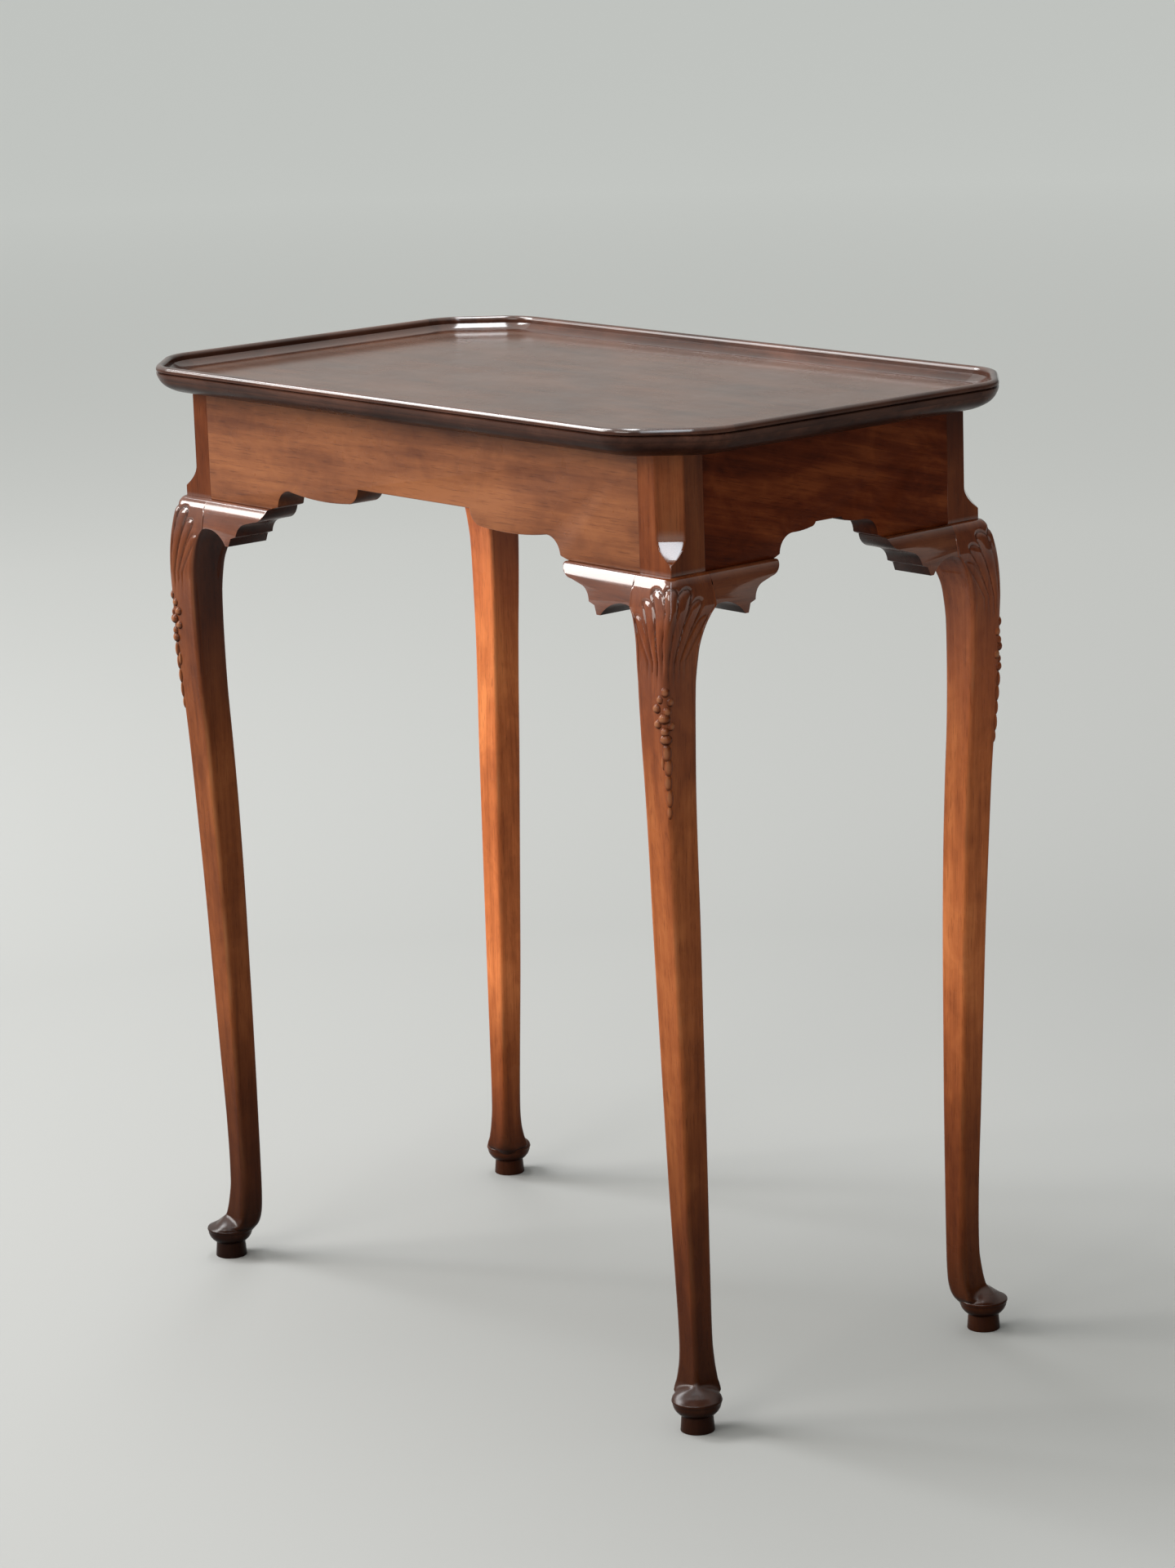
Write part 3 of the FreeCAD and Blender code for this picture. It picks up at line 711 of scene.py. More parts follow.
def shank_drops():
    """How far below the knee line each ring of the knee, shank and ankle lies."""
    drops = []
    for step in range(KNEE_TURN_STEPS + 1):
        turn = math.radians(KNEE_TURN * step / KNEE_TURN_STEPS)
        drops.append(KNEE_DROP * (1 - math.cos(turn)))
    while drops[-1] < KNEE_LINE - CARVED_FOOT:
        drops.append(drops[-1] + KNEE_STEP)
    for foot, step in SHANK_STEPS:
        while KNEE_LINE - drops[-1] > foot:
            drops.append(drops[-1] + step)
    drops += [KNEE_LINE - DISH_FOOT, KNEE_LINE - DISH_FOOT + LIP_GAP]
    return drops + [KNEE_LINE - height for height in HEEL_RINGS]


def shank_ring(drop):
    """One ring below the knee line, drawn out to the dish where it is on the ankle."""
    height = KNEE_LINE - drop
    if drop <= KNEE_BLOCK_DEPTH:
        outer, inner, lean = -knee_offset(drop), POST_SIZE, 0
        arris, corner, heel = KNEE_ARRIS, JOINT_EDGE, JOINT_EDGE
    else:
        outer, inner, lean, arris, corner, heel = station_at(height)
    shift = LEG_LEAN * lean
    section = (outer + shift, inner + shift, outer - shift, inner - shift, arris, corner, heel, 1)
    ring = leg_ring(height, section)
    if DISH_FOOT - TOUCH < height < DISH_TOP:
        ring = [(dished(point), way, across, worn) for point, way, across, worn in ring]
    return ring


def wrap_leg(bm, recess_shade, wear):
    """Wraps a sheet round the leg, carves the knee, and closes the sheet into a solid."""
    rings = post_rings() + [shank_ring(drop) for drop in shank_drops()]
    around = len(rings[0])
    bmesh.ops.create_grid(bm, x_segments=around, y_segments=len(rings) - 1, size=1)
    for vert in bm.verts:
        ring = rings[round((vert.co.y + 1) / 2 * (len(rings) - 1))]
        point, way, across, worn = ring[round((vert.co.x + 1) / 2 * around) % around]
        relief = 0.0
        if REED_FOOT - REED_FADE < point.z < REED_HEAD and way.length:
            relief = reed_relief(across, point.z)
        vert.co = point + way * relief
        # Painted shade: the carving's grooves are darkened by how deep they are cut.
        vert[recess_shade] = max(0.0, -relief / GROOVE_DEPTH)
        vert[wear] = worn
    bmesh.ops.remove_doubles(bm, verts=bm.verts, dist=LEG_MERGE)
    close_ends(bm)


# Pendant of husks on the arris below the reeds: height, sideways place, width, length and stand-out
HUSKS = (
    (494.0, 0.6, 3.0, 3.6, 1.3),
    (489.0, 4.0, 3.0, 3.2, 1.6),
    (487.5, -3.0, 2.8, 3.4, 1.3),
    (483.0, 6.0, 3.6, 3.5, 2.2),
    (481.5, -0.6, 2.8, 3.4, 1.5),
    (477.0, 2.0, 4.2, 3.8, 2.5),
    (473.0, 5.6, 3.5, 3.4, 2.0),
    (472.0, -3.0, 2.9, 3.4, 1.5),
    (468.5, 1.4, 3.1, 3.3, 1.9),
    (463.5, 1.2, 4.2, 3.8, 2.4),
    (455.0, 0.6, 3.0, 6.5, 1.9),
    (446.0, 0.0, 2.8, 7.0, 1.7),
    (448.5, 3.0, 1.9, 5.5, 1.3),
    (436.0, 0.5, 2.5, 6.5, 1.6),
    (426.0, 0.0, 2.4, 7.5, 1.5),
    (416.5, 0.3, 1.8, 5.5, 1.1),
)
HUSK_ROOT = 1.2
# How the nubs are darkened with painted shade towards their roots, and worn on top
HUSK_ROOT_SHADE = 1.25
HUSK_ROOT_SHADE_FALL = 1.5
HUSK_WEAR_START = 2.2
HUSK_WEAR_RISE = 4.4
HUSK_WEAR_MOST = 2


def arris_seat(height, sideways):
    """A point on the rounded arris at a place beside its crest, and the way outwards there."""
    outer, _, lean, arris, _, _ = station_at(height)
    shift = LEG_LEAN * lean
    out = Vector((-1, -1, 0)).normalized()
    side = Vector((1, -1, 0)).normalized()
    centre = Vector((outer + shift + arris, outer - shift + arris, height))
    limit = arris * math.sin(math.pi / 4)
    turn = math.asin(max(-limit, min(limit, sideways)) / arris)
    way = out * math.cos(turn) + side * math.sin(turn)
    past = (abs(sideways) - limit) * math.sqrt(2) if abs(sideways) > limit else 0.0
    along = (side * math.cos(turn) - out * math.sin(turn)) * math.copysign(past, sideways)
    return centre + way * arris + along, way


def add_husks(bm, recess_shade, wear):
    """Small rounded nubs, then slim drops, half sunk in the arris, with painted shade at the root, worn
    on top.
    """
    for height, sideways, width, length, stand in HUSKS:
        seat, way = arris_seat(height, sideways)
        bulge = stand + HUSK_ROOT
        turn = Matrix((way.cross(AXIS_Z), way, AXIS_Z)).transposed()
        middle = seat - way * HUSK_ROOT
        shape = Matrix.Translation(middle) @ turn.to_4x4() @ Matrix.Diagonal((width, bulge, length, 1))
        nub = bmesh.ops.create_icosphere(bm, subdivisions=3, radius=1, matrix=shape)["verts"]
        for vert in nub:
            raised = (vert.co - middle).dot(way) / bulge
            # Painted shade darkens each nub towards its root.
            vert[recess_shade] = clamped(HUSK_ROOT_SHADE - raised * HUSK_ROOT_SHADE_FALL)
            vert[wear] = min(HUSK_WEAR_MOST, max(0, raised * HUSK_WEAR_RISE - HUSK_WEAR_START))


def add_foot(bm):
    """The turned pad, bowl and thin lip under the dish."""
    def point(radius, height):
        return FOOT_AXIS + Vector((radius, 0, height))

    steps = [[point(*spot) for spot in step] for step in FOOT_PROFILE]
    foot = trace(point(0, 0), steps, arc_steps=7, closed=False)
    bmesh.ops.spin(foot, geom=foot.verts[:] + foot.edges[:], cent=FOOT_AXIS, axis=AXIS_Z,
                   angle=2 * math.pi, steps=FOOT_TURNS, use_merge=True)
    bmesh.ops.remove_doubles(foot, verts=foot.verts, dist=FOOT_MERGE)
    bmesh.ops.recalc_face_normals(foot, faces=foot.faces)
    mesh = to_mesh(foot, "turned_foot")
    bm.from_mesh(mesh)
    bpy.data.meshes.remove(mesh)


def build_legs(finishes):
    leg = bmesh.new()
    # A layer of painted shade for the carving's recesses, and one of wear
    recess_shade = leg.verts.layers.float.new("recess_shade")
    wear = leg.verts.layers.float.new("wear")
    wrap_leg(leg, recess_shade, wear)
    add_husks(leg, recess_shade, wear)
    add_foot(leg)
    for face in leg.faces:
        face.material_index = 1 if face.calc_center_median().z < DISH_TOP else 0
    for corner in CORNERS:
        place(to_corner(leg, corner), "carved_leg_" + corner, "leg_" + corner, *finishes[corner],
              sharp_angle=50)
    leg.free()


# Shader helpers. A mix node's colour sockets come after those for numbers: its factor, its two
# colours and its result.
MIX_INPUTS = (0, 6, 7)
MIX_RESULT = 2


def add_node(tree, kind, **values):
    """Adds a shader node. Names with a leading capital are inputs, the others are settings."""
    made = tree.nodes.new(kind)
    for name, value in values.items():
        if name[0].isupper():
            made.inputs[name.replace("_", " ")].default_value = value
        else:
            setattr(made, name, value)
    return made


def feed(tree, value, socket):
    """Links an output to a socket, or sets the socket to a colour or a plain value."""
    if isinstance(value, bpy.types.NodeSocket):
        tree.links.new(value, socket)
    elif isinstance(value, tuple):
        socket.default_value = (*value, 1)
    else:
        socket.default_value = value


def new_material(name):
    """A material with its node tree, its shader and a node of the piece's coordinates."""
    material = bpy.data.materials.new(name)
    material.use_nodes = True
    tree = material.node_tree
    return material, tree, tree.nodes["Principled BSDF"], add_node(tree, "ShaderNodeTexCoord")


def ramp(tree, source, stops):
    made = add_node(tree, "ShaderNodeValToRGB")
    ladder = made.color_ramp
    while len(ladder.elements) < len(stops):
        ladder.elements.new(0.5)
    for element, (position, colour) in zip(ladder.elements, stops):
        element.position = position
        element.color = (*colour, 1)
    feed(tree, source, made.inputs["Fac"])
    return made.outputs[0]


def ranged(tree, source, span, low=0.0, high=1.0):
    """Maps a span of a value to another one, held at its ends."""
    made = add_node(tree, "ShaderNodeMapRange", From_Min=span[0], From_Max=span[1], To_Min=low,
                    To_Max=high)
    feed(tree, source, made.inputs["Value"])
    return made.outputs[0]


def grain_noise(tree, where, scale, detail, roughness, distortion=0.0):
    """Noise stretched by a scale for each axis, in turns per metre."""
    mapping = add_node(tree, "ShaderNodeMapping", Scale=scale)
    feed(tree, where, mapping.inputs["Vector"])
    made = add_node(tree, "ShaderNodeTexNoise", Scale=1.0, Detail=detail, Roughness=roughness,
                    Distortion=distortion)
    feed(tree, mapping.outputs[0], made.inputs["Vector"])
    return made.outputs[0]


def wood_noise(tree, where, grain, along, across, detail, roughness, distortion=0.0):
    """Noise with one scale along the grain's axis and another across it."""
    scale = tuple(along if axis == grain else across for axis in "XYZ")
    return grain_noise(tree, where, scale, detail, roughness, distortion)


def mixed(tree, blend, factor, first, second):
    made = add_node(tree, "ShaderNodeMix", data_type="RGBA", blend_type=blend)
    for value, index in zip((factor, first, second), MIX_INPUTS):
        feed(tree, value, made.inputs[index])
    return made.outputs[MIX_RESULT]


def maths(tree, operation, first, second):
    made = add_node(tree, "ShaderNodeMath", operation=operation)
    feed(tree, first, made.inputs[0])
    feed(tree, second, made.inputs[1])
    return made.outputs[0]


def by_height(tree, coords, stops):
    """A ramp over heights in metres."""
    split = add_node(tree, "ShaderNodeSeparateXYZ")
    feed(tree, coords.outputs["Object"], split.inputs[0])
    top = TABLE_HEIGHT * MM
    level = ranged(tree, split.outputs["Z"], (0.0, top))
    return ramp(tree, level, [(height / top, tint) for height, tint in stops])


def share_by_height(tree, coords, stops):
    return by_height(tree, coords, [(height, (share, share, share)) for height, share in stops])


# How the legs' stain and painted shade change with height: a height in metres and what it multiplies
# the wood by. The dark feet are stain; the darker knees and posts are partly stain and partly painted
# shade under the tray.
FADE_TOP = 0.3
SHIN_TOP = 0.46
POST_FOOT = 0.6
LEG_STAIN_AND_SHADE = (
    (0.00, (0.05, 0.042, 0.036)),
    (0.03, (0.095, 0.08, 0.07)),
    (0.09, (0.29, 0.25, 0.23)),
    (0.175, (0.48, 0.43, 0.38)),
    (0.27, (0.95, 0.95, 0.95)),
    (0.39, (1.0, 1.0, 1.0)),
    (SHIN_TOP, (0.62, 0.55, 0.52)),
    (0.55, (0.48, 0.40, 0.38)),
    (0.566, (0.50, 0.43, 0.40)),
    (0.64, (0.58, 0.51, 0.46)),
)

# Each leg was cut from its own board: how light its wood is, partly that board's tone and partly
# painted light and shade for how the lamps fall on that leg, how far up its foot's dark stain fades as
# a share of the table above, how light it is below the knee, also partly painted light and shade, its
# post's tint beside the rest, a painted sheen on the front right post and painted shade on the back
# right one, how much painted shade darkens its right face at the top, and the height in metres from
# which that face darkens
LEG_TINTS_AND_PAINTED_LIGHT = {
    "front_left": (0.76, 0.72, 1.0, (1.0, 1.0, 1.15), 0.85, 0.36),
    "front_right": (1.13, 1.0, 1.0, (1.15, 1.3, 1.6), 0.55, 0.47),
    "back_left": (1.95, 0.6, 1.5, (1.0, 1.0, 1.0), 0.75, 0.36),
    "back_right": (1.55, 0.9, 1.4, (0.31, 0.22, 0.14), 0.5, 0.36),
}
PAINTED_SHADE_RISE = 0.16

# How glossy a piece is at a height in metres: the knees, tongues and feet have kept most polish
LEG_POLISH = (
    (0.0, 0.04),
    (0.40, 0.04),
    (0.535, 0.2),
    (0.551, 0.75),
    (0.564, 0.75),
    (0.567, 0.05),
)
TONGUE_POLISH = ((0.568, 0.0), (0.571, 1.0), (0.588, 1.0), (0.592, 0.0))
DISH_POLISH = ((0.034, 0.36), (0.044, 0.0))
BRACKET_POLISH = ((0.534, 0.2), (0.551, 0.7))

# The grain's patterns: turns per metre along and across it, detail, roughness and distortion, which
# the figure takes from each wood. The weights are their shares in the wood's tone.
FIGURE_NOISE = (9.0, 24.0, 3.0, 0.55)
BAND_NOISE = (6.0, 170.0, 4.0, 0.6, 0.25)
PORE_NOISE = (60.0, 1300.0, 2.0, 0.6)
MOTTLE_NOISE = (38.0, 55.0, 4.0, 0.6, 0.9)
RIPPLE_NOISE = (14.0, 45.0, 2.0, 0.5)
FIGURE_WEIGHT = 0.46
BAND_WEIGHT = 0.34
MOTTLE_WEIGHT = 0.20
TONE_STOPS = (0.38, 0.50, 0.62)
BLACK = (0, 0, 0)
WHITE = (1, 1, 1)
PORE_STOPS = ((0.30, WHITE), (0.43, BLACK))
PORE_SHARE = 0.5
PORE_TINT = (0.35, 0.26, 0.22)
PORE_DEPTH = -0.00006
RIPPLE_HEIGHT = 0.0003
BUMP_STRENGTH = 0.5

# Patterns that don't follow the grain: turns per metre on each axis, detail and roughness
RUB_NOISE = ((35.0, 35.0, 12.0), 3.0, 0.6)
SMUDGE_NOISE = ((22.0, 22.0, 22.0), 3.0, 0.6)
SMUDGE_SPAN = (0.3, 0.7)
SMUDGE_GLOSS = (-0.05, 0.10)

# Wear, and painted shade on right faces, in the carving's grooves and on undersides; end grain is
# darker, partly its own colour and partly painted shade. A facing is the span of a normal's part along
# one axis over which a look comes in.
RUB_STOPS = ((0.42, BLACK), (0.62, WHITE))
RUB_SHARE = 0.55
RUB_TINT = (0.42, 0.17, 0.07)
# Painted shade on the legs' right faces towards the top
RIGHT_FACING = (0.75, 0.92)
PAINTED_SHADE_TINT = (0.30, 0.22, 0.20)
BARE_WEAR = (1.0, 2.0)
BARE_SHARE = 0.3
BARE_TINT = (0.50, 0.23, 0.115)
# Painted shade in the carving's grooves and at the husks' roots
RECESS_SHADE_SHARE = 0.6
RECESS_SHADE_TINT = (0.16, 0.10, 0.09)
TONGUE_GAIN = 4.0
DISH_FACING = (0.25, 0.6)
# End grain darker, partly its own colour and partly painted shade
END_FACING = (0.35, 0.75)
END_GRAIN_SHADE_TINT = (0.16, 0.10, 0.08)
# Painted shade on faces that look down
UNDER_FACING = (-0.25, -0.7)
UNDERSIDE_SHADE_SHARE = 0.9
UNDERSIDE_SHADE_TINT = (0.22, 0.17, 0.15)
UPRIGHT_FACING = (0.15, 0.5)
WOOD_IOR = 1.5


def leg_stain_and_shade(fade, shin, post):
    """The stain table of one leg."""
    stops = []
    for height, tint in LEG_STAIN_AND_SHADE:
        if height > POST_FOOT:
            stops.append((height, [level * share for level, share in zip(tint, post)]))
        elif height == SHIN_TOP:
            stops.append((height, [level * shin for level in tint]))
        else:
            stops.append((height * fade if height < FADE_TOP else height, tint))
    return stops


def bare_wood(tree, where, grain, tones, swirl):
    """The wood's own colour, from figure, bands, mottle and dark pores, and the mask of the pores."""
    figure = wood_noise(tree, where, grain, *FIGURE_NOISE, swirl)
    bands = wood_noise(tree, where, grain, *BAND_NOISE)
    pores = wood_noise(tree, where, grain, *PORE_NOISE)
    mottle = wood_noise(tree, where, grain, *MOTTLE_NOISE)
    tone = maths(tree, "MULTIPLY", figure, FIGURE_WEIGHT)
    for pattern, weight in ((bands, BAND_WEIGHT), (mottle, MOTTLE_WEIGHT)):
        tone = maths(tree, "ADD", tone, maths(tree, "MULTIPLY", pattern, weight))
    held = add_node(tree, "ShaderNodeClamp")
    feed(tree, tone, held.inputs[0])
    wood = ramp(tree, held.outputs[0], list(zip(TONE_STOPS, tones)))
    pore_mask = ramp(tree, pores, PORE_STOPS)
    pore_share = maths(tree, "MULTIPLY", pore_mask, PORE_SHARE)
    return mixed(tree, "MULTIPLY", pore_share, wood, PORE_TINT), pore_mask


def leg_colour(tree, where, coords, facing, colour, stain_and_shade, painted_shade, painted_shade_foot):
    """A leg's rubbed corners, stain with painted shade by height, painted shade on its right face, bare
    husks, and painted shade in its carving's grooves and at the husks' roots.
    """
    wear = add_node(tree, "ShaderNodeAttribute", attribute_name="wear").outputs["Fac"]
    rub_mask = ramp(tree, grain_noise(tree, where, *RUB_NOISE), RUB_STOPS)
    rubbed = maths(tree, "MULTIPLY", maths(tree, "MULTIPLY", wear, rub_mask), RUB_SHARE)
    colour = mixed(tree, "MIX", rubbed, colour, RUB_TINT)
    # Stain by height, with painted shade at the knees and posts.
    colour = mixed(tree, "MULTIPLY", 1.0, colour, by_height(tree, coords, stain_and_shade))
    # Painted shade: the right faces are darkened from a height upwards.
    right = ranged(tree, facing.outputs["X"], RIGHT_FACING, high=painted_shade)
    painted_shade_stops = ((painted_shade_foot, 0.0), (painted_shade_foot + PAINTED_SHADE_RISE, 1.0))
    painted_shaded = maths(tree, "MULTIPLY", right, share_by_height(tree, coords, painted_shade_stops))
    colour = mixed(tree, "MULTIPLY", painted_shaded, colour, PAINTED_SHADE_TINT)
    bare = ranged(tree, wear, BARE_WEAR, high=BARE_SHARE)
    colour = mixed(tree, "MIX", bare, colour, BARE_TINT)
    # Painted shade in the carving's grooves and at the husks' roots.
    recess_shade = add_node(tree, "ShaderNodeAttribute", attribute_name="recess_shade").outputs["Fac"]
    recess_shade_share = maths(tree, "MULTIPLY", recess_shade, RECESS_SHADE_SHARE)
    return mixed(tree, "MULTIPLY", recess_shade_share, colour, RECESS_SHADE_TINT), wear


def leg_polish(tree, coords, facing, wear, polish):
    """Adds the gloss of the lamb's tongue and of the foot's dish to a leg's own."""
    flat = maths(tree, "MINIMUM", maths(tree, "MULTIPLY", wear, TONGUE_GAIN), 1.0)
    tongue = maths(tree, "MULTIPLY", flat, share_by_height(tree, coords, TONGUE_POLISH))
    polish = maths(tree, "MAXIMUM", polish, tongue)
    level = ranged(tree, facing.outputs["Z"], DISH_FACING)
    dish = maths(tree, "MULTIPLY", level, share_by_height(tree, coords, DISH_POLISH))
    return maths(tree, "MAXIMUM", polish, dish)


def mahogany(name, grain, tones, gloss=0.28, polish=0.15, shine=0.12, lacquer=1.5, glaze=0.1,
             upright=1.0, slant=(0, 0, 0), swirl=0.6, end_grain_and_shade=0.0, stain_and_shade=None, painted_shade=0.0,
             painted_shade_foot=0.0):
    """Polished mahogany, its grain along one axis, turned by a slant in degrees. A leg has a stain with
    painted shade.
    """
    material, tree, shader, coords = new_material(name)
    slanted = add_node(tree, "ShaderNodeMapping", Rotation=[math.radians(angle) for angle in slant])
    feed(tree, coords.outputs["Object"], slanted.inputs["Vector"])
    where = slanted.outputs[0]
    facing = add_node(tree, "ShaderNodeSeparateXYZ")
    feed(tree, add_node(tree, "ShaderNodeNewGeometry").outputs["Normal"], facing.inputs[0])
    if isinstance(polish, tuple):
        polish = share_by_height(tree, coords, polish)

    colour, pore_mask = bare_wood(tree, where, grain, tones, swirl)
    if stain_and_shade:
        colour, wear = leg_colour(tree, where, coords, facing, colour, stain_and_shade, painted_shade, painted_shade_foot)
        polish = leg_polish(tree, coords, facing, wear, polish)
    # End grain is darkened, partly its own darker colour and partly painted shade.
    if end_grain_and_shade:
        along = maths(tree, "ABSOLUTE", facing.outputs[grain], 0.0)
        end_grain_shade = ranged(tree, along, END_FACING, high=end_grain_and_shade)
        colour = mixed(tree, "MULTIPLY", end_grain_shade, colour, END_GRAIN_SHADE_TINT)
        polish = maths(tree, "MULTIPLY", polish, maths(tree, "SUBTRACT", 1.0, end_grain_shade))
    # Painted shade: faces that look down are darkened.
    underside_shade = ranged(tree, facing.outputs["Z"], UNDER_FACING, high=UNDERSIDE_SHADE_SHARE)
    colour = mixed(tree, "MULTIPLY", underside_shade, colour, UNDERSIDE_SHADE_TINT)
    level = ranged(tree, facing.outputs["Z"], UPRIGHT_FACING, low=upright)
    open_side = maths(tree, "SUBTRACT", 1.0, underside_shade)
    polish = maths(tree, "MULTIPLY", polish, maths(tree, "MULTIPLY", open_side, level))

    smudge = grain_noise(tree, where, *SMUDGE_NOISE)
    rough = ranged(tree, smudge, SMUDGE_SPAN, *(gloss + change for change in SMUDGE_GLOSS))
    ripple = wood_noise(tree, where, grain, *RIPPLE_NOISE)
    height = maths(tree, "ADD", maths(tree, "MULTIPLY", pore_mask, PORE_DEPTH),
                   maths(tree, "MULTIPLY", ripple, RIPPLE_HEIGHT))
    bump = add_node(tree, "ShaderNodeBump", Strength=BUMP_STRENGTH, Distance=1.0)
    feed(tree, height, bump.inputs["Height"])
    looks = {
        "Base Color": colour,
        "Coat Weight": polish,
        "Roughness": rough,
        "Normal": bump.outputs[0],
        "Coat IOR": lacquer,
        "Coat Roughness": glaze,
        "Specular IOR Level": shine,
        "IOR": WOOD_IOR,
    }
    for socket, value in looks.items():
        feed(tree, value, shader.inputs[socket])
    return material


# The plain wood of the corner blocks and the steel of the screws
BLOCK_NOISE = ((12.0, 160.0, 160.0), 4.0, 0.6)
BLOCK_STOPS = ((0.3, (0.16, 0.085, 0.04)), (0.7, (0.34, 0.20, 0.105)))
BLOCK_ROUGHNESS = 0.72
STEEL_NOISE = ((420.0, 420.0, 420.0), 4.0, 0.65)
STEEL_STOPS = ((0.35, (0.10, 0.075, 0.055)), (0.6, (0.34, 0.31, 0.28)))
STEEL_SPAN = (0.3, 0.7)
STEEL_ROUGHNESS = (0.62, 0.34)


def plain_wood(name):
    """Unpolished secondary wood for the corner blocks."""
    material, tree, shader, coords = new_material(name)
    bands = grain_noise(tree, coords.outputs["Object"], *BLOCK_NOISE)
    bump = add_node(tree, "ShaderNodeBump", Strength=0.4, Distance=0.0006)
    feed(tree, bands, bump.inputs["Height"])
    feed(tree, ramp(tree, bands, BLOCK_STOPS), shader.inputs["Base Color"])
    feed(tree, bump.outputs[0], shader.inputs["Normal"])
    feed(tree, BLOCK_ROUGHNESS, shader.inputs["Roughness"])
    return material


def aged_steel(name):
    material, tree, shader, coords = new_material(name)
    spots = grain_noise(tree, coords.outputs["Object"], *STEEL_NOISE)
    feed(tree, ramp(tree, spots, STEEL_STOPS), shader.inputs["Base Color"])
    feed(tree, ranged(tree, spots, STEEL_SPAN, *STEEL_ROUGHNESS), shader.inputs["Roughness"])
    feed(tree, 1.0, shader.inputs["Metallic"])
    return material


# Studio: a pale floor, soft lights and the camera, in metres and degrees
FLOOR_HALF = 60.0
# The floor is painted darker near the table and lighter far off, to even out the lamps' light, which is
# strongest near the table
FLOOR_FADE = (1.0, 8.0)
FLOOR_PAINTED_FALLOFF_STOPS = (
    (0.0, (0.38, 0.378, 0.368)),
    (0.3, (0.58, 0.577, 0.565)),
    (1.0, (0.82, 0.82, 0.81)),
)
FLOOR_ROUGHNESS = 0.8
ROOM_COLOUR = (0.86, 0.89, 0.86)
ROOM_BRIGHT_WAY = Vector((-0.38, -0.24, 0.88))
ROOM_SPAN = (-0.15, 1.0)
ROOM_STRENGTH = (0.07, 1.12)
CAMERA_TURN = (49.170, 13.041, 1.872)
CAMERA_PLACE = (2.29952, -1.97927, 1.07182)
CAMERA_LENS = 103.16
CAMERA_SENSOR = 36.0
CAMERA_REACH = 200.0


def make_floor():
    bm = bmesh.new()
    bmesh.ops.create_grid(bm, x_segments=2, y_segments=2, size=FLOOR_HALF)
    mesh = to_mesh(bm, "studio_floor")
    material, tree, shader, coords = new_material("pale_floor")
    reach = add_node(tree, "ShaderNodeVectorMath", operation="LENGTH")
    feed(tree, coords.outputs["Object"], reach.inputs[0])
    far = ranged(tree, reach.outputs["Value"], FLOOR_FADE)
    # Painted light: the floor grows lighter away from the table.
    feed(tree, ramp(tree, far, FLOOR_PAINTED_FALLOFF_STOPS), shader.inputs["Base Color"])
    feed(tree, FLOOR_ROUGHNESS, shader.inputs["Roughness"])
    mesh.materials.append(material)
    floor = add_object("studio_floor", mesh)


def add_light(name, position, target, size, power, colour, along=AXIS_Z, gleam=False):
    """A soft panel that faces its target, its height along a way. A gleam only shows in gloss."""
    light = bpy.data.lights.new(name, "AREA")
    light.shape = "RECTANGLE"
    light.size, light.size_y = size
    light.energy = power
    light.color = colour
    lamp = add_object(name, light)
    back = (Vector(position) - Vector(target)).normalized()
    up = (along - back * along.dot(back)).normalized()
    turn = Matrix((up.cross(back), up, back)).transposed().to_4x4()
    lamp.matrix_world = Matrix.Translation(position) @ turn
    lamp.visible_camera = False
    lamp.visible_diffuse = not gleam


def make_studio():
    middle = (0, 0, 0.5)
    near_corner = (0.25, -0.14, 0.6)
    far_corner = (-0.26, 0.15, 0.65)
    add_light("window_light", (-2.49, -2.31, 2.19), middle, size=(1.6, 1.7), power=90,
              colour=(1.0, 0.985, 0.96))
    add_light("skylight", (-1.95, -0.85, 2.75), middle, size=(0.9, 1.5), power=52,
              colour=(0.96, 0.98, 1.0))
    add_light("front_light", (0.3, -2.8, 2.1), middle, size=(1.4, 1.2), power=27,
              colour=(1.0, 0.97, 0.93))
    add_light("sky_strip", (1.30, -1.33, 1.89), near_corner, size=(0.18, 2.8), power=11,
              colour=(0.80, 0.91, 1.0), gleam=True)
    add_light("overhead_strip", (-0.42, 0.10, 2.27), far_corner, size=(0.25, 1.3), power=13,
              colour=(0.95, 0.97, 1.0), along=AXIS_Y - AXIS_X)
    world = bpy.data.worlds.new("soft_room")
    world.use_nodes = True
    tree = world.node_tree
    back = tree.nodes["Background"]
    feed(tree, ROOM_COLOUR, back.inputs["Color"])
    way = add_node(tree, "ShaderNodeTexCoord")
    bright_side = add_node(tree, "ShaderNodeVectorMath", operation="DOT_PRODUCT")
    feed(tree, way.outputs["Generated"], bright_side.inputs[0])
    feed(tree, ROOM_BRIGHT_WAY, bright_side.inputs[1])
    glow = ranged(tree, bright_side.outputs["Value"], ROOM_SPAN, *ROOM_STRENGTH)
    feed(tree, glow, back.inputs["Strength"])
    bpy.context.scene.world = world
    bpy.context.scene.view_settings.view_transform = "Standard"


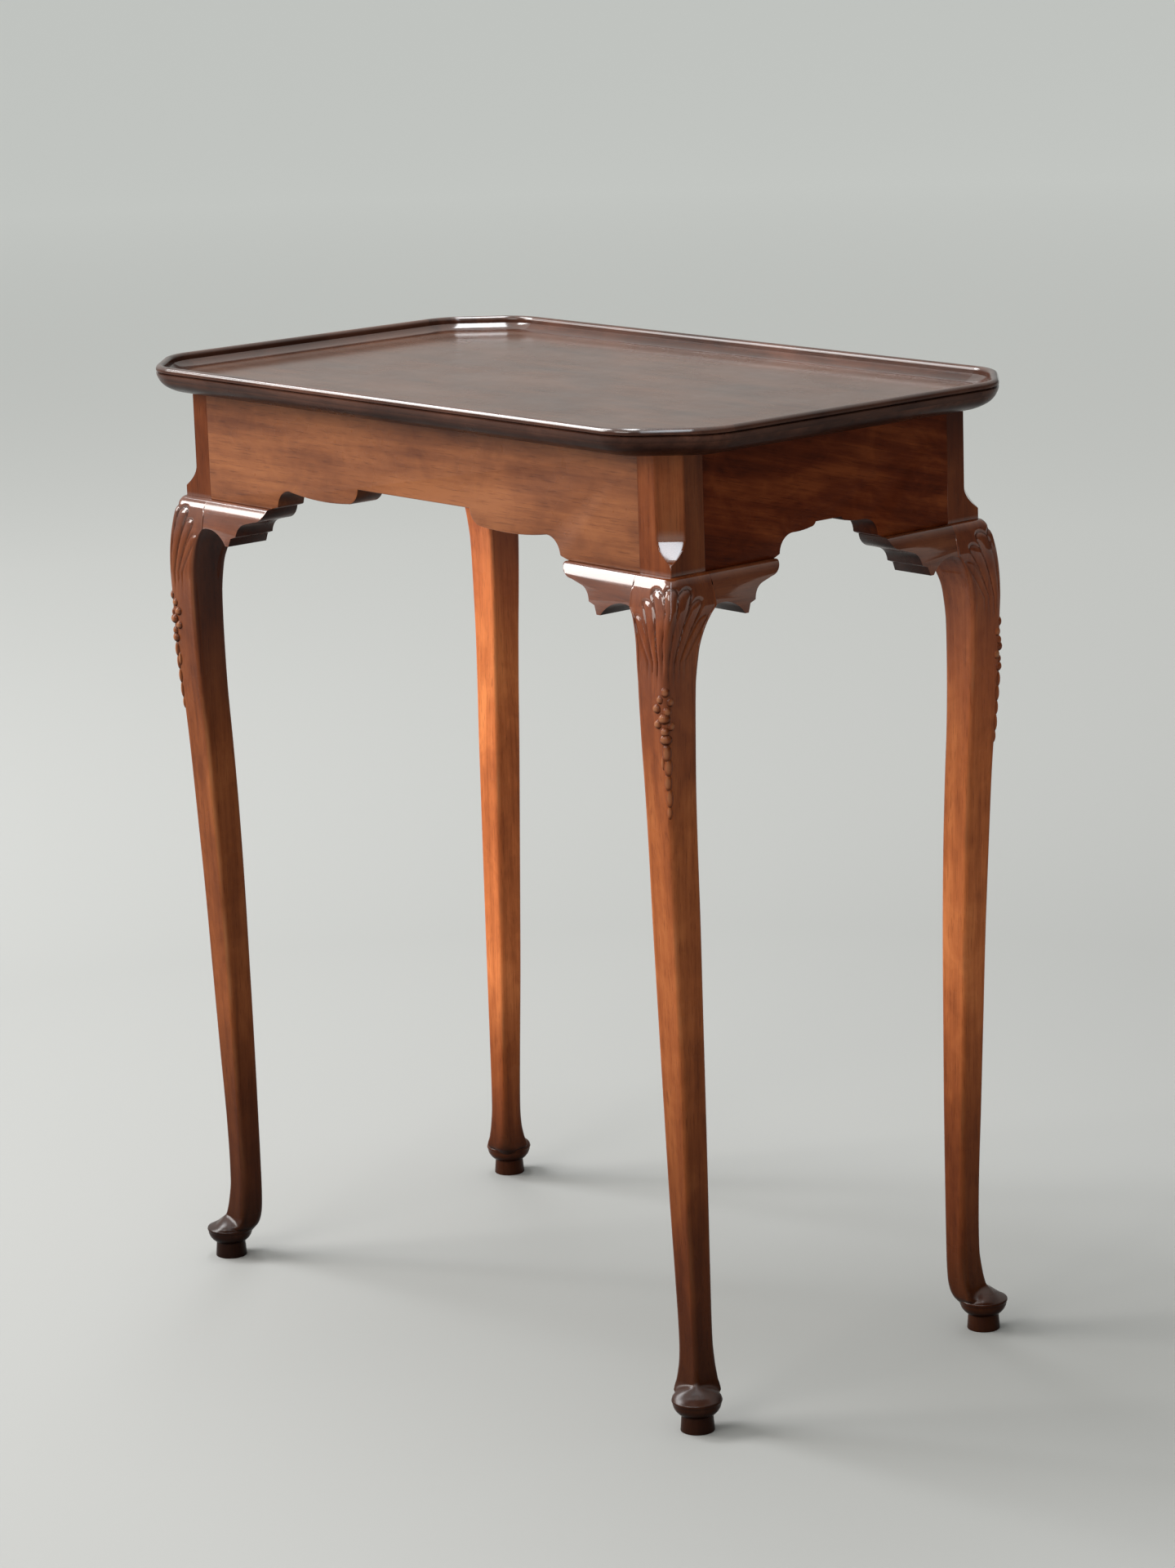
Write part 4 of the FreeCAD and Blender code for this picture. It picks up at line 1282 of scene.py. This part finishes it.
def make_camera():
    """The camera of the picture, from its yaw, pitch and roll."""
    yaw, pitch, roll = (math.radians(angle) for angle in CAMERA_TURN)
    level = Vector((math.cos(yaw), math.sin(yaw), 0))
    ahead = Vector((-math.sin(yaw) * math.cos(pitch), math.cos(yaw) * math.cos(pitch),
                    -math.sin(pitch)))
    down = ahead.cross(level)
    right = level * math.cos(roll) + down * math.sin(roll)
    down = down * math.cos(roll) - level * math.sin(roll)
    camera = bpy.data.cameras.new("picture_camera")
    camera.lens = CAMERA_LENS
    camera.sensor_width = CAMERA_SENSOR
    camera.sensor_fit = "AUTO"
    camera.clip_end = CAMERA_REACH
    holder = add_object("picture_camera", camera)
    turn = Matrix((right, -down, -ahead)).transposed().to_4x4()
    holder.matrix_world = Matrix.Translation(CAMERA_PLACE) @ turn
    bpy.context.scene.camera = holder


# The woods: the dark, middle and bright tone of each
APRON_TONES = ((0.135, 0.036, 0.011), (0.225, 0.069, 0.022), (0.32, 0.107, 0.035))
# The short rails are darker with painted shade for the table's shaded right side, and the left rail
# shares it
SIDE_SHADED_TONES = ((0.055, 0.008, 0.002), (0.115, 0.019, 0.004), (0.21, 0.046, 0.011))
LEG_TONES = ((0.20, 0.051, 0.015), (0.32, 0.088, 0.026), (0.44, 0.138, 0.043))
# The brackets are darker than the aprons, partly their own finish and partly painted shade under the
# tray
BRACKET_STAIN_AND_SHADE_TONES = ((0.085, 0.021, 0.008), (0.145, 0.037, 0.013), (0.21, 0.060, 0.021))
RIM_TONES = ((0.038, 0.014, 0.009), (0.068, 0.026, 0.016), (0.112, 0.044, 0.027))
EDGE_TONES = ((0.052, 0.021, 0.014), (0.092, 0.037, 0.024), (0.15, 0.062, 0.040))
TRAY_TONES = ((0.072, 0.028, 0.015), (0.10, 0.04, 0.021), (0.13, 0.053, 0.028))

# The looks that several pieces share
BRACKET_LOOK = {"polish": BRACKET_POLISH, "lacquer": 1.9, "end_grain_and_shade": 0.9}
RIM_LOOK = {"gloss": 0.2, "polish": 0.85, "shine": 0.05, "lacquer": 1.8, "glaze": 0.13, "upright": 0.13}
BACK_RIM_LOOK = {"gloss": 0.2, "polish": 0.6, "shine": 0.06}
LEG_LOOK = {"polish": LEG_POLISH, "shine": 0.05, "lacquer": 1.9}
LEG_GLAZE = 0.06
FOOT_GLAZE = 0.3


def build_table():
    apron_long = mahogany("apron_mahogany_long", "X", APRON_TONES, end_grain_and_shade=0.7)
    apron_short_shaded = mahogany("apron_mahogany_short_shaded", "Y", SIDE_SHADED_TONES, polish=0.03, shine=0.03,
                           slant=(14, 0, 0), swirl=1.4, end_grain_and_shade=0.7)
    bracket_long = mahogany("bracket_mahogany_long", "X", BRACKET_STAIN_AND_SHADE_TONES, **BRACKET_LOOK)
    bracket_short = mahogany("bracket_mahogany_short", "Y", BRACKET_STAIN_AND_SHADE_TONES, **BRACKET_LOOK)
    rim_finishes = {}
    for side, grain in (("front", "X"), ("left", "Y"), ("right", "Y"), ("corner", "X"), ("back", "X")):
        look = BACK_RIM_LOOK if side == "back" else RIM_LOOK
        rim_finishes[side] = mahogany("rim_mahogany_" + side, grain, RIM_TONES, **look)
    board_finish = mahogany("tray_mahogany", "X", TRAY_TONES, gloss=0.22, polish=0.57)
    board_edge = mahogany("tray_edge_mahogany", "X", EDGE_TONES, polish=0.05, shine=0.05)
    build_tray(board_finish, board_edge, rim_finishes)
    build_rails(apron_long, apron_short_shaded)
    build_brackets(bracket_long, bracket_short)
    leg_finishes = {}
    # Each leg's tones are lit and shaded copies of one wood, with painted light and shade.
    for corner, (strength, fade, shin, post, painted_shade, painted_shade_foot) in LEG_TINTS_AND_PAINTED_LIGHT.items():
        tones = [[level * strength for level in tone] for tone in LEG_TONES]
        look = {**LEG_LOOK, "stain_and_shade": leg_stain_and_shade(fade, shin, post), "painted_shade": painted_shade,
                "painted_shade_foot": painted_shade_foot}
        leg_finishes[corner] = (
            mahogany("leg_mahogany_" + corner, "Z", tones, glaze=LEG_GLAZE, **look),
            mahogany("foot_mahogany_" + corner, "Z", tones, glaze=FOOT_GLAZE, **look),
        )
    build_legs(leg_finishes)
    block_finish = plain_wood("block_softwood")
    for corner in CORNERS:
        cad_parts["corner_block_" + corner].material_slots[0].material = block_finish
    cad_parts["top_screws"].material_slots[0].material = aged_steel("screw_steel")


make_camera()
make_floor()
make_studio()
build_table()
